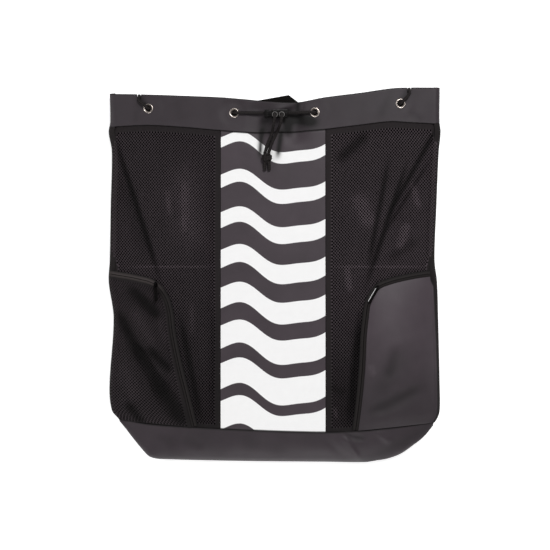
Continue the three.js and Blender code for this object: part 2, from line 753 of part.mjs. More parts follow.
const POCKET_OFF = ZIP_HALF + 2 * SEAM_GAP;

function meshPocketSides() {
  const top = (u) => zipMesh(mix(0, CORNER_MESH, u), POCKET_OFF);
  const right = (v) => zipMesh(mix(1, CORNER_MESH, v), POCKET_OFF);
  const low = baseSeam(leftSeam(-234)) + SEAM_GAP;
  const left = (v) => {
    const y = mix(low, top(0)[1], v);
    return [mix(leftSeam(y) + 0.5, top(0)[0], rise(v, 0.9, 1)), y];
  };
  const bottom = (u) => {
    const x = mix(left(0)[0], right(0)[0], u);
    return [x, mix(low, right(0)[1], u)];
  };
  return { top, right, left, bottom };
}

function coatedPocketSides() {
  const top = (u) => zipCoated(mix(CORNER_COATED, 0, u), -POCKET_OFF);
  const left = (v) => zipCoated(mix(1, CORNER_COATED, v), -POCKET_OFF);
  const low = baseSeam(rightSeam(-240)) + SEAM_GAP;
  const right = (v) => {
    const y = mix(low, top(1)[1], v);
    return [mix(rightSeam(y) - 0.5, top(1)[0], rise(v, 0.9, 1)), y];
  };
  const bottom = (u) => {
    const x = mix(left(0)[0], right(0)[0], u);
    return [x, mix(left(0)[1], low, u)];
  };
  return { top, right, left, bottom };
}

// Frame of a slider on its zip: along the pull tab, across it and out of the cloth
const SLIDER_FOOT = ZIP_LIFT + ZIP_RIDGE + 0.3;
function sliderFrame(slider) {
  const ahead = heading({ x: slider.x, y: slider.y }, { x: slider.toX, y: slider.toY });
  const near = (dx, dy) => frontHeight(slider.x + dx, slider.y + dy);
  const slope = (dx, dy) => (near(dx, dy) - near(-dx, -dy)) / (2 * SLOPE_STEP);
  const out = point(-slope(SLOPE_STEP, 0), -slope(0, SLOPE_STEP), 1).normalize();
  const across = out.clone().cross(ahead).normalize();
  const forward = across.clone().cross(out);
  const foot = point(slider.x, slider.y, frontHeight(slider.x, slider.y)).addScaledVector(out, SLIDER_FOOT);
  return new THREE.Matrix4().makeBasis(forward, across, out).setPosition(foot);
}

// Slider: a plate over the coil with a bridge that holds the pull
function sliderSolid(slider) {
  const plate = new THREE.Shape();
  const half = SLIDER_LENGTH / 2;
  const wide = SLIDER_WIDTH / 2;
  plate.moveTo(-half - 1, -wide * 0.7);
  plate.lineTo(half - 1.6, -wide);
  plate.lineTo(half - 1, 0);
  plate.lineTo(half - 1.6, wide);
  plate.lineTo(-half - 1, wide * 0.7);
  const foot = new THREE.ExtrudeGeometry(plate, { depth: SLIDER_HEIGHT, bevelEnabled: false });
  const span = BRIDGE_SPAN / 2;
  const arch = new THREE.Shape();
  arch.moveTo(-span - BRIDGE_WALL, -0.4);
  arch.lineTo(-span, -0.4);
  arch.lineTo(-span, BRIDGE_GAP);
  arch.lineTo(span, BRIDGE_GAP);
  arch.lineTo(span, -0.4);
  arch.lineTo(span + BRIDGE_WALL, -0.4);
  arch.lineTo(span + BRIDGE_WALL, BRIDGE_GAP + 0.4);
  arch.lineTo(span, BRIDGE_GAP + BRIDGE_WALL);
  arch.lineTo(-span, BRIDGE_GAP + BRIDGE_WALL);
  arch.lineTo(-span - BRIDGE_WALL, BRIDGE_GAP + 0.4);
  const bridge = new THREE.ExtrudeGeometry(arch, { depth: BRIDGE_WIDTH, bevelEnabled: false })
    .translate(0, 0, -BRIDGE_WIDTH / 2)
    .rotateX(Math.PI / 2)
    .translate(0, 0, SLIDER_HEIGHT);
  return geometryOf(bodyOf(foot).add(bodyOf(bridge))).applyMatrix4(sliderFrame(slider));
}

// Pull tab: a plate whose cross bar turns inside the bridge, dipped to rest on the cloth
const HINGE_HEIGHT = SLIDER_HEIGHT + BRIDGE_GAP / 2;
function pullSolid(slider) {
  const length = Math.hypot(slider.toX - slider.x, slider.toY - slider.y);
  const wide = PULL_WIDTH / 2;
  const bar = PULL_THICK / 2;
  const plate = new THREE.Shape();
  plate.moveTo(-bar, -wide);
  plate.lineTo(length - wide, -wide);
  plate.absarc(length - wide, 0, wide, -Math.PI / 2, Math.PI / 2, false);
  plate.lineTo(-bar, wide);
  const gap = new THREE.Path();
  gap.moveTo(bar, -BRIDGE_WIDTH / 2 - 0.4);
  gap.lineTo(bar, BRIDGE_WIDTH / 2 + 0.4);
  gap.lineTo(bar + PULL_WINDOW, BRIDGE_WIDTH / 2 + 0.4);
  gap.lineTo(bar + PULL_WINDOW, -BRIDGE_WIDTH / 2 - 0.4);
  plate.holes.push(gap);
  return new THREE.ExtrudeGeometry(plate, { depth: PULL_THICK, bevelEnabled: false, curveSegments: 8 })
    .translate(0, 0, -PULL_THICK / 2)
    .rotateY(THREE.MathUtils.degToRad(slider.dip))
    .translate(0, 0, HINGE_HEIGHT)
    .applyMatrix4(sliderFrame(slider));
}

// Base: folded along the bottom edge, from the back seam under and round to the front seam
function baseSolid() {
  const section = (x) => {
    const seam = baseSeam(x);
    const bottom = baseBottom(x);
    const top = frontHeight(x, seam);
    const foldY = Math.min(BASE_FOLD, (seam - bottom) * 0.5);
    const foldZ = Math.min(BASE_FOLD, top * 0.5);
    const under = [
      point(x, seam, 0),
      point(x, bottom + foldY, 0),
      point(x, bottom + foldY * 0.3, foldZ * 0.3),
    ];
    const over = steps(6).map((t) => {
      const s = 1 - t;
      const y = s * s * bottom + 2 * s * t * bottom + t * t * seam;
      const z = s * s * foldZ + 2 * s * t * top + t * t * top;
      return point(x, y, z);
    });
    return [...under, ...over];
  };
  const columns = BASE_COLUMNS.map(section);
  const rows = columns[0].map((_, j) => columns.map((column) => column[j]));
  return clothWall(rows, CLOTH);
}

// Shoulder strap under the back
function strapSolid(side) {
  const half = STRAP_WIDTH / 2;
  const rows = steps(10).map((t) => {
    const { x, y } = strapLine(side, 1 - t);
    return [half, 0, -half].map((off) => point(x + off, y, 0));
  });
  return clothWall(rows, STRAP_THICK);
}

// Haul loop: webbing that lies arched under the back rim and shows above the dip of the front rim
const HAUL_OUTER = [[-61.6, 251], [-49.4, 277.4], [22.8, 290.3], [53.3, 267.2], [58.2, 249.6]];
const HAUL_INNER = [[-43.4, 242.6], [-35.5, 259.5], [17.6, 269], [35.7, 255.4], [38.9, 244.2]];
function haulLoop() {
  const rows = HAUL_OUTER.map((outer, i) =>
    [outer, HAUL_INNER[i]].map(([x, y]) => point(x, y, RIM_LIFT - SEAM_GAP)),
  );
  return clothWall(rows, WEB_THICK);
}

// Rim: columns that keep each eyelet inside one flat cell and follow the notches of the cord
const RIM_COLUMNS = [
  -231, -224, -217, -211.5, -192.5, -165, -137, -110, -90, -74, -55, -40, -26, -10, 8, 22, 34, 46,
  55, 74, 95, 120, 145, 170, 192.5, 211.5, 216, 223, 230,
];
const RIM_ROWS = [0, 0.18, 0.35, 0.78, 1];
function rimFront() {
  const side = (seam, guess) => (v) => {
    const y = mix(rimBottom(guess), rimTop(guess), v);
    return [seam(y), y];
  };
  const left = side(leftSeam, -252);
  const right = side(rightSeam, 253);
  const crossing = (curve, v) => (u) => {
    const x = mix(left(v)[0], right(v)[0], u);
    return [x, curve(x)];
  };
  const sides = { left, right, bottom: crossing(rimBottom, 0), top: crossing(rimTop, 1) };
  const from = left(0.5)[0];
  const to = right(0.5)[0];
  const us = [0, ...RIM_COLUMNS.map((x) => (x - from) / (to - from)), 1];
  return withEyeletCuts(panel(sides, us, RIM_ROWS, frontHeight), frontSpots);
}

function rimBack() {
  const columns = () => [-242, -220, -150, -75, 0, 75, 150, 217, 239];
  const top = (x) => rimTop(x) - BACK_RIM_DROP;
  return withEyeletCuts(backWall(rimBottom, top, steps(3), columns), backSpots);
}

// Faces of a closed solid turned to point out
function facingOut(geometry) {
  const bare = geometry.clone();
  bare.deleteAttribute("normal");
  bare.deleteAttribute("uv");
  const merged = mergeVertices(bare, 1e-4);
  const place = merged.attributes.position;
  const corners = [0, 1, 2].map(() => new THREE.Vector3());
  let volume = 0;
  for (let i = 0; i < merged.index.count; i += 3) {
    corners.forEach((corner, k) => corner.fromBufferAttribute(place, merged.index.getX(i + k)));
    volume += corners[0].dot(corners[1].clone().cross(corners[2]));
  }
  if (volume < 0) {
    const flipped = Array.from(merged.index.array);
    for (let i = 0; i < flipped.length; i += 3) {
      [flipped[i], flipped[i + 1]] = [flipped[i + 1], flipped[i]];
    }
    merged.setIndex(flipped);
  }
  merged.computeVertexNormals();
  return merged;
}

const COATED = 0x4b474a;
const MESH = 0x262225;
const BLACK = 0x1b1a1b;
const NICKEL = 0xb9b2ab;
const STEEL = 0xa8a8aa;

const root = new THREE.Group();
root.name = "swim_bag";
function add(name, geometry, color, metalness = 0) {
  const material = new THREE.MeshStandardMaterial({ color, metalness, roughness: 0.6 });
  const mesh = new THREE.Mesh(facingOut(geometry), material);
  mesh.name = name;
  root.add(mesh);
}

const BODY_ROWS = steps(17);
const stripLeft = () => STRIP_LEFT;
const stripRight = () => STRIP_RIGHT;
const beforeStrip = () => STRIP_LEFT - SEAM_GAP;
const afterStrip = () => STRIP_RIGHT + SEAM_GAP;

add("back", backWall(panelLow, panelHigh, BODY_ROWS, strapColumns), BLACK);
add("base", baseSolid(), COATED);
add("mesh_left", panel(uprightSides(leftSeam, beforeStrip), steps(9), BODY_ROWS, frontHeight), MESH);
add("strip", panel(uprightSides(stripLeft, stripRight), steps(6), BODY_ROWS, frontHeight), COATED);
add("mesh_right", panel(uprightSides(afterStrip, rightSeam), steps(9), BODY_ROWS, frontHeight), MESH);
add("rim_front", rimFront(), COATED);
add("rim_back", rimBack(), COATED);
frontSpots.forEach((spot, i) => add(`grommet_front_${i + 1}`, eyelet(spot), NICKEL, 1));
backSpots.forEach((spot, i) => add(`grommet_back_${i + 1}`, eyelet(spot), NICKEL, 1));
add("drawcord", cordAlong(drawcordRoute(), CORD / 2), BLACK);
add("lock_body", lockBody(), BLACK);
add("lock_plunger", lockPlunger(), BLACK);
add("tail_left", cordAlong(tailRoute(-1), CORD / 2), BLACK);
add("tail_right", cordAlong(tailRoute(1), CORD / 2), BLACK);
add("tail_knot", knot(), BLACK);
add("pocket_mesh", pocket(meshPocketSides(), POCKET_MESH_RISE), MESH);
add("zip_mesh", zipTape(zipMesh), BLACK);
add("slider_mesh", sliderSolid(SLIDER_MESH), BLACK, 1);
add("pull_mesh", pullSolid(SLIDER_MESH), BLACK, 1);
add("pocket_coated", pocket(coatedPocketSides(), POCKET_COATED_RISE), COATED);
add("zip_coated", zipTape(zipCoated), BLACK);
add("slider_coated", sliderSolid(SLIDER_COATED), BLACK, 1);
add("pull_coated", pullSolid(SLIDER_COATED), STEEL, 1);
add("haul_loop", haulLoop(), BLACK);
add("strap_left", strapSolid(-1), BLACK);
add("strap_right", strapSolid(1), BLACK);

export default root;
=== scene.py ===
"""Swim bag that lies on its back: cloth, net, zips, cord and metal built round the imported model.

Tables and sizes are millimetres in the model's own frame: +X across the front, +Y from the base to the
mouth, +Z up out of the front. Shapes are whole numpy arrays, and become metres when a mesh is made.
"""
import math

import bpy
import numpy as np
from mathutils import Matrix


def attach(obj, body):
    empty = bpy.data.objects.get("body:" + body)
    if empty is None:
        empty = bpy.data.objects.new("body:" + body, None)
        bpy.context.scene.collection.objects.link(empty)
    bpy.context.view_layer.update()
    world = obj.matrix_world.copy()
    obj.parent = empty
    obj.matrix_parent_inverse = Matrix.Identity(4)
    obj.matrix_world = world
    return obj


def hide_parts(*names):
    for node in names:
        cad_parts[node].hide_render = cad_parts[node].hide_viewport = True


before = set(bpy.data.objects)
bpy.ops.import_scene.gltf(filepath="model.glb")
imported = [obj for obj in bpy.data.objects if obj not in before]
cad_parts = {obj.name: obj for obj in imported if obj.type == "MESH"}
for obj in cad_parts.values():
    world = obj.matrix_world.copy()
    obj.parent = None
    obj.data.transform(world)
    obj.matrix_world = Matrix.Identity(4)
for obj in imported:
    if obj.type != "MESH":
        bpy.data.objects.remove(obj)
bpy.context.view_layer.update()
scene = bpy.context.scene
MM = 0.001

# Cloth and sewing
CLOTH = 1.4
SEAM_GAP = 0.4
SIDE_GAP = 0.7
SIDE_TURN = 10
FULLNESS = 3
TUCK = 5
COATED_PROUD = 0.5
DENT_SHADE_DEPTH = 4
DENT_FORM = 0.15
NET_FORM = 0.4
CLOTH_RIPPLE = 0.35
RIPPLE_WAVES = 7
RIPPLE_GROWTH = 1.22
RIPPLE_TURN = 2.4
RIPPLE_SHIFT = 1.7
RIPPLE_SUM = 3

# Body sections: y, left edge, right edge, height of the side seam, height of the crown
BODY = np.array([
    (-245, -242.5, 254.3, 13, 44),
    (-233, -252.5, 263.3, 13, 45),
    (-220, -263, 267.3, 14, 45),
    (-182, -267, 267.3, 14, 45),
    (-70, -260.3, 264.8, 14, 43),
    (-12, -268.2, 263, 14, 41),
    (24, -266.5, 259, 14, 40),
    (110, -265, 262, 14, 37),
    (200, -263, 265.6, 17, 35),
    (230, -267.5, 267.9, 20, 34),
    (246, -265, 266.2, 20, 34),
    (299, -266, 266.5, 20, 34),
])

# Rim stations: x, top edge, bottom edge
RIM = np.array([
    (-265, 291.2, 237),
    (-202, 288.6, 239),
    (-140, 285.7, 235),
    (-85, 283.2, 230),
    (-40, 279.4, 227),
    (10, 275.2, 227.5),
    (42, 276.2, 229),
    (79, 283.2, 232),
    (140, 291.2, 239.5),
    (186, 298.2, 245),
    (214, 300, 244),
    (265, 300.8, 242),
])
BACK_RIM_DROP = 3
RIM_WRAP_LEFT = 1
RIM_WRAP_RIGHT = 7.5
RIM_ENDS = (-252.0, 253.0)
RIM_ROLL = 3.0
RIM_ROLL_DROP = 2.2
RIM_SHADE_LINE = (0.9, 2.0)
RIM_SHADE_LINE_LOW = 0.6
BACK_RIM_CORNER = (232, 252)

# Base stations: x, seam, bottom edge
BASE = np.array([
    (-251, -233.5, -236.5),
    (-207, -239.5, -290),
    (-196, -240.3, -296.4),
    (-175, -241.5, -298.4),
    (-50, -247.5, -301),
    (80, -251.4, -302.2),
    (145, -249, -303),
    (166, -247.3, -300.2),
    (184, -245.8, -297),
    (204, -244.2, -289.5),
    (223, -242.6, -276.5),
    (243, -240.3, -260.5),
    (257, -238.5, -243.5),
])
BASE_FOLD = 9
BASE_END = 0.8
BASE_SHADE_LINE = (0.5, 1.6)
BASE_RIPPLE = (0.5, 40)
BASE_TONE = 0.12
BASE_TONE_LENGTH = 60
BASE_SHADE_DEPTH = 6
BASE_DARKEST = 0.5

# Folds of the front: from x, y, to x, y, half width, rise
FOLDS = [
    (-250, 182, -190, 6, 15, -5),
    (254, 200, 172, 52, 15, -5),
    (214, 190, 150, 30, 16, 4),
    (34, 200, 34, 290, 15, -7),
    (-26, 200, -26, 290, 15, -4),
]
# Finer creases of the same cloth, in the same columns
CREASES = [
    (-247, 168, -184, -7, 5, -1.2),
    (258, 216, 160, 36, 5, -1.2),
    (262, 232, 206, 126, 5, 1.0),
    (-205, 150, -168, 60, 9, -1.2),
    (100, 225, 150, 120, 12, -1.4),
    (-5, 262, 40, 271, 4, 1.0),
    (-330, 302, 130, 288, 40, 2.6),
]
# Dents round the cord lock, where the cord goes over the rim, and darker places of the rim, likewise: a
# small share of each is form, and each is also painted shade in the cloth's colour
DENTS = [
    (0, 257, 78, 240, 9, -6.0),
    (20, 270, 22, 216, 8, -4.5),
    (-4, 268, -24, 216, 7, -2.6),
    (36, 254, 38, 285, 3.5, -3.6),
    (-20, 240, -24, 180, 4, -4.0),
    (12, 240, 4, 180, 4.5, -4.2),
    (-194, 254, -224, 300, 5, -1.6),
    (196, 258, 222, 310, 5, -1.6),
    (-214, 298, -226, 232, 6, -0.8),
    (-162, 290, -144, 236, 9, -0.5),
    (192, 304, 164, 240, 7, -0.9),
    (210, 266, 244, 244, 6, -0.7),
    (60, 258, 180, 268, 26, -0.5),
]
# Folds of the nets alone, in the same columns: a share of each is form, and each also darkens the yarn's
# colour in its hollows and lightens it on its ridges, as painted shade and painted light, with painted
# shadow beside the zips
NET_FOLDS = [
    (-264, 240, -176, -30, 4, -5.0),
    (-250, 170, -200, 20, 12, -1.0),
    (-143, 152, -143, 64, 4.5, 4.0),
    (-173, 144, -166, 88, 5, 1.6),
    (-150, 200, -130, 20, 26, 1.6),
    (-95, -40, -95, -250, 9, -1.2),
    (-112, -60, -104, -250, 14, 0.5),
    (-154, -50, -113, -252, 5, -4.5),
    (-131, -36, -131, -104, 5, 1.6),
    (-252, 12.5, -80, 12.5, 1.8, 2.2),
    (76, 12.5, 256, 12.5, 1.8, 2.2),
    (276, 262, 172, 76, 4, -5.0),
    (218, 196, 140, -36, 4, -5.0),
    (186, 200, 146, -6, 4, -4.0),
    (258, 196, 168, 54, 3, -2.6),
    (126, 136, 160, 68, 12, 2.4),
    (214, 88, 198, 36, 6, 4.0),
    (221, 152, 233, 102, 5, 2.6),
    (154, 230, 94, 176, 8, -3.6),
    (115, 16, 120, -32, 4.5, 3.0),
    (95, -208, 99, -232, 3.5, 3.0),
    (138, -48, 117, -254, 6, -5.5),
    (84, -176, 116, -190, 6, -2.0),
    (106, -120, 108, -262, 20, -0.9),
    (236, 60, 176, 20, 7, -1.6),
]
# Main folds and finer creases of both pockets, in the same columns; the creases also darken the pockets'
# colour in their hollows and lighten it on their ridges, as painted shade and painted light
POCKET_FOLDS = [
    (-238, -16, -180, -72, 13, -5),
    (-236, -100, -148, -240, 16, -8),
    (140, -226, 244, -178, 18, -4),
]
POCKET_CREASES = [
    (-256, -52, -204, -150, 8, -5.5),
    (-226, -104, -168, -206, 9, -5.5),
    (-196, -158, -134, -250, 12, -6.0),
    (-238, -16, -176, -74, 7, -6.0),
    (-206, -112, -160, -158, 7, -5.0),
    (-240, -200, -206, -246, 7, -4.5),
    (-232, -44, -184, -124, 10, 1.4),
    (-250, -130, -214, -214, 12, 1.0),
    (-186, -46, -172, -120, 6, 1.2),
    (222, -104, 150, -204, 16, -1.4),
    (198, -108, 176, -172, 9, -1.6),
    (250, -172, 140, -226, 10, -2.0),
    (150, -140, 158, -166, 5, 1.6),
]
# Creases of the base, in the same columns; their hollows are also painted shade in the base's colour
BASE_CREASES = [
    (102, -242, 140, -304, 4.5, 2.6),
    (98, -252, 150, -264, 5, -3.0),
    (156, -244, 190, -272, 5, 2.2),
    (132, -310, 272, -234, 12, -2.2),
    (76, -256, 118, -300, 7, -1.2),
    (-196, -252, -156, -276, 9, -1.2),
    (-150, -256, -112, -278, 8, -1.0),
    (-60, -262, 30, -284, 14, -1.0),
]
FOLD_RUNOUT = 0.3
FOLD_SHADE = 3.2

# Centre strip
STRIP_LEFT = -85.5
STRIP_RIGHT = 81
STRIP_DROP = 2.4
STRIP_EASE = 4
STRIP_SHADE_LINE = (0.8, 2.6)

# Eyelets
FRONT_EYELETS = np.array([(-202, 266), (-64.5, 258), (64.5, 259), (202, 274)])
BACK_EYELETS = np.array([(-231, 266), (228, 274)])
EYELET_BORE = 4.4
EYELET_ROLL = 5.7
EYELET_BARREL = 6
EYELET_FLANGE = 7.8
EYELET_PLATE = 1
EYELET_FACE = CLOTH / 2 + 0.3
EYELET_CUT = 6.2
EYELET_FLAT = 14
EYELET_BLEND = 28
SLOPE_STEP = 5

# Drawcord
CORD = 5
CORD_CLEAR = 0.5
CORD_BEND = 4.4
EDGE_NOTCH = 6.5
EDGE_NOTCH_HALF = 3.2
CORD_OVER = (-217, 216)
CORD_LIE = CORD / 2 + CORD_CLEAR
CORD_INSIDE = CORD_LIE + 0.6
EYELET_RUN = EYELET_FACE + EYELET_PLATE + CORD_LIE
CORD_RADIUS = CORD / 2 - 0.05
CORD_SIDES = 20
CORD_STEP = 1.0
CORD_GUIDE = (0.31, 0.52, 0.79)
BRAID_PITCH = 7
BRAID_CARRIERS = 4
BRAID_RELIEF = 0.05

# Cord lock
LOCK_X = 8
LOCK_Y = 255
LOCK_LENGTH = 26.4
LOCK_RADIUS = 7.2
LOCK_BORE = 4.9
LOCK_END = 1.4
LOCK_HOLE = 3.4
LOCK_RING = 0.5
LOCK_WAIST = LOCK_RADIUS - 0.35
TURNED_TIP = 0.01
LOCK_SPACING = 11
LOCK_STAND = 13.4
LOCK_LEAN = math.radians(14)
HOLES_OFF = -1.95
CORD_IN_HOLE = 0.2
EXIT_CLEAR = LOCK_RADIUS - 0.4
EXIT_BEND = 3.8
PLUNGER_RADIUS = 4.55
PLUNGER_SLOT = 5.9
PLUNGER_TRAVEL = 3.5
BUTTON_RADIUS = 7
BUTTON_LENGTH = 7
BUTTON_FLUTES = 18
FLUTE_DEPTH = 0.035

# Tails over the lock: share of the way across to the knot, then y and z from the lock's middle
TAIL_DROP = np.array([
    (0, -2.9, 9), (0.01, -5.3, 11.5), (0.02, -8.4, 13), (0.05, -11.9, 13.4), (0.09, -15.2, 12.5),
    (0.13, -18.1, 10.6), (0.16, -20.1, 7.8), (0.19, -21.5, 4.2), (0.22, -22.8, 0.6), (0.25, -24.2, -3.2),
    (0.28, -26, -6.2), (0.33, -28.6, -8.4), (0.4, -31.9, -9.6),
])
TAILS_APART = 6
TAIL_EASE = 8
TAIL_STEP = 0.8

# Knot of the two tails
KNOT_X = -12
KNOT_Y = 185
KNOT_WIDE = 8.2
KNOT_LONG = 9.5
KNOT_HIGH = 6.6
KNOT_END = 19
KNOT_TURNS = 1.15
KNOT_WRAP = (0.16, 0.74)
KNOT_SWING = (0.08, 0.26, 0.62, 0.8)
# Tails on the cloth: share of the way across, y, stand over the cloth
TAIL_LIE = [(0.54, 217.5, 0.1), (0.79, 207, 0), (1, KNOT_Y + KNOT_LONG - 0.2, 0)]

# Zips
ZIP_MESH = [
    (-265.5, 1.2), (-256, -0.5), (-221, -6.5), (-192, -15.5), (-174.5, -36), (-167, -60),
    (-163.5, -89), (-157.5, -121), (-149.5, -156), (-140, -193), (-128, -242),
]
ZIP_COATED = [
    (251, 1), (232, -1.5), (205, -6.5), (184, -12), (166, -19.5), (155, -32.5), (148.5, -49),
    (145.5, -70), (142.5, -97), (139.5, -153), (134, -209), (129, -248),
]
# Half of a tape's section, from its edge to the slit: across, up
ZIP_SECTION = np.array([
    (-6, 0), (-5.7, 0.35), (-4.4, 0.5), (-2.6, 0.55), (-1.5, 0.95), (-0.7, 1.05), (-0.4, 0.7), (-0.3, 0.1),
])
ZIP_SLIT = -0.1
ZIP_STEP = 2
ZIP_HALF = 6
ZIP_TAPE = 1
ZIP_LIFT = CORD_CLEAR + ZIP_TAPE
ZIP_RIDGE = 1.4
TOOTH_PITCH = 1.4
TOOTH_OFF = 0.3
TOOTH_UP = 0.5
# A tooth: places along it and its radius there
TOOTH = np.array([(-0.7, 0.2), (-0.45, 0.42), (0.45, 0.42), (0.7, 0.2)])
CORNER_MESH = 0.285
CORNER_COATED = 0.29
POCKET_MESH_RISE = 9
POCKET_COATED_RISE = 14
POCKET_OFF = ZIP_HALF - 1.6
POCKET_WRAP_LEFT = 2.5
POCKET_WRAP_RIGHT = ((-237, -113, -20, 2), (3.5, 4.5, 6.5, 10.5))
POCKET_LOW = -237.0
POCKET_TOP = 0.93
POCKET_EDGE = 0.15
POCKET_STAND = ZIP_LIFT + CLOTH + 0.2
POCKET_RIPPLE = (0.2, 44)
POCKET_SHADE_LINE = (0.9, 2.2)
POCKET_SHADE = (-240, -60)
POCKET_SHADE_DEPTH = 7
POCKET_DARKEST = 0.75
ZIP_COVER = 8

# Sliders: x, y, x and y of the pull's far end, dip of the pull in degrees
SLIDER_MESH = (-189, -17, -187, -43.5, -4)
SLIDER_COATED = (162.5, -22.5, 149, -45.5, 4)
SLIDER_LENGTH = 9
SLIDER_WIDTH = 7
SLIDER_HEIGHT = 2
SLIDER_FOOT = ZIP_LIFT + ZIP_RIDGE + 0.3
BRIDGE_WIDTH = 2
BRIDGE_GAP = 2
BRIDGE_SPAN = 4.4
BRIDGE_WALL = 1
BRIDGE_ROUND = 0.5
BRIDGE_FOOT = -0.4
PULL_WIDTH = 5.6
PULL_THICK = 1.2
PULL_WINDOW = 3.4
PULL_CLEAR = 0.4
RAIL_OFF = 2.0
RAIL_RADIUS = 0.7

# Webbing under the bag
STRAP_WIDTH = 42
STRAP_THICK = 2.4
STRAPS_TOP = (42, 205)
STRAPS_LOW = (178, -205)
STRAP_BOW = 22
STRAP_BED = 8
STRAP_SLOPE = 14
STRAP_ENDS = 26
STRAP_CLEAR = 0.8
WEB_THICK = 1.8
WEB_RIBS = 12
RIB_DEPTH = 0.12
RIM_LIFT = 7.4
BACK_LIFT = (188, 226)
HAUL_OUTER = np.array([(-61.6, 251), (-49.4, 277.4), (22.8, 290.3), (53.3, 267.2), (58.2, 249.6)])
HAUL_INNER = np.array([(-43.4, 242.6), (-35.5, 259.5), (17.6, 269), (35.7, 255.4), (38.9, 244.2)])

# Net: a cell holds one hole at its corners and one in its middle, and panels are as cut, across and up
NET_CELL_X = 4.5
NET_CELL_Y = 5.25
NET_PANEL = (176, 490)
NET_POCKET = (105, 245)
NET_THICK = 0.7
NET_HOLE = (0.7, 0.6)
NET_KNOT = 0.14
NET_DIP = -0.12
NET_SINK = 0.3
NET_HEM = 10
NET_SIDE_HEM = 7
NET_UNDER_RIM = 1.7
NET_RIM_TUCK = 10
NET_RIM_EASE = 9
NET_EDGE_DROP = 1.9
NET_EDGE_EASE = 8
NET_LOOSE_EASE = 20
NET_RIPPLE = (0.5, 26)
NET_LOW = (-240, 30)
NET_LOW_SHADE = 2
NET_POCKET_SHADE = 0.8
NET_SIDE_TUCK = 3
NET_TURN = 5.2
NET_TURN_HEM = 1.5
NET_OVER = 0.9
NET_TURN_FROM = (12, 40)
NET_TURN_TO = (205, 228)

# Cells of the cloth's grids, across and up
STRIP_GRID = (84, 320)
RIM_GRID = (280, 52)
POCKET_GRID = (120, 144)
BACK_GRID = (110, 130)
RIM_BACK_GRID = (200, 28)
TURN_CELLS = 12
BASE_CELLS = 180
WEB_CELLS = 32
HAUL_CELLS = 80
STRAP_CELLS = 119


# Plain maths


def mix(a, b, t):
    return a + (b - a) * t


def rise(x, low, high):
    """Smooth step: 0 below low, 1 above high, and 3t^2 - 2t^3 between them."""
    t = np.clip((x - low) / (high - low), 0, 1)
    return t * t * (3 - 2 * t)


def unit(v):
    """Vectors of the last axis at length one."""
    return v / np.maximum(np.linalg.norm(v, axis=-1, keepdims=True), 1e-9)


def vec(x, y, z):
    """Points from three arrays or numbers."""
    return np.stack(np.broadcast_arrays(np.asarray(x, float), y, z), -1)


def along(stations, values, place):
    """Cubic pieces through the stations, each with its neighbours' chord as slope, level past the ends."""
    last = len(stations) - 1
    at = np.clip(place, stations[0], stations[-1])
    i = np.clip(np.searchsorted(stations, at) - 1, 0, last - 1)
    before = np.maximum(i - 1, 0)
    after = np.minimum(i + 2, last)
    span = stations[i + 1] - stations[i]
    t = (at - stations[i]) / span
    slope_from = (values[i + 1] - values[before]) / (stations[i + 1] - stations[before]) * span
    slope_to = (values[after] - values[i]) / (stations[after] - stations[i]) * span
    start = (2 * t**3 - 3 * t**2 + 1) * values[i] + (t**3 - 2 * t**2 + t) * slope_from
    return start + (3 * t**2 - 2 * t**3) * values[i + 1] + (t**3 - t**2) * slope_to


def curve(table, column):
    """Smooth curve through one column of a table, over the table's first column."""
    return lambda place: along(table[:, 0], table[:, column], place)


def walk(points):
    """Distance of each point along a row of points."""
    return np.concatenate([[0], np.cumsum(np.linalg.norm(np.diff(points, axis=0), axis=1))])


def smooth_line(points, per_span=40):
    """Centripetal cubic line through the points, as many fine points with their distances along it."""
    p = np.asarray(points, float)
    p = np.vstack([2 * p[0] - p[1], p, 2 * p[-1] - p[-2]])
    gap = np.sqrt(np.linalg.norm(np.diff(p, axis=0), axis=1))
    before, here, there, after = p[:-3], p[1:-2], p[2:-1], p[3:]
    d0, d1, d2 = (gap[k : len(gap) - 2 + k, None] for k in range(3))
    out_of = ((here - before) / d0 - (there - before) / (d0 + d1) + (there - here) / d1) * d1
    into = ((there - here) / d1 - (after - here) / (d1 + d2) + (after - there) / d2) * d1
    t = (np.arange(per_span) / per_span)[None, :, None]
    a, b, m, n = here[:, None], there[:, None], out_of[:, None], into[:, None]
    fine = a + m * t + (3 * b - 3 * a - 2 * m - n) * t**2 + (2 * a - 2 * b + m + n) * t**3
    fine = np.vstack([fine.reshape(-1, p.shape[1]), p[-2]])
    return fine, walk(fine)


def line_at(line, share):
    """Points at shares of a line's whole length."""
    fine, walked = line
    return np.stack([np.interp(share * walked[-1], walked, column) for column in fine.T], -1)


def line_way(line, share):
    """Directions at shares of a line's whole length, by a small step to each side."""
    step = 1e-3
    return unit(line_at(line, np.clip(share + step, 0, 1)) - line_at(line, np.clip(share - step, 0, 1)))


# The bag's form


left_edge = curve(BODY, 1)
right_edge = curve(BODY, 2)
seam_height = curve(BODY, 3)
crown_height = curve(BODY, 4)
rim_edge = curve(RIM, 1)
rim_bottom = curve(RIM, 2)
base_seam = curve(BASE, 1)
base_bottom = curve(BASE, 2)


def left_seam(y):
    return left_edge(y) + SIDE_TURN + SIDE_GAP


def right_seam(y):
    return right_edge(y) - SIDE_TURN - SIDE_GAP


def rim_top(x):
    """The rim's top edge, pulled down where the cord crosses it."""
    top = rim_edge(x)
    for crossing in CORD_OVER:
        top = top - EDGE_NOTCH * (1 - rise(np.abs(x - crossing), CORD / 2, EDGE_NOTCH_HALF))
    return top


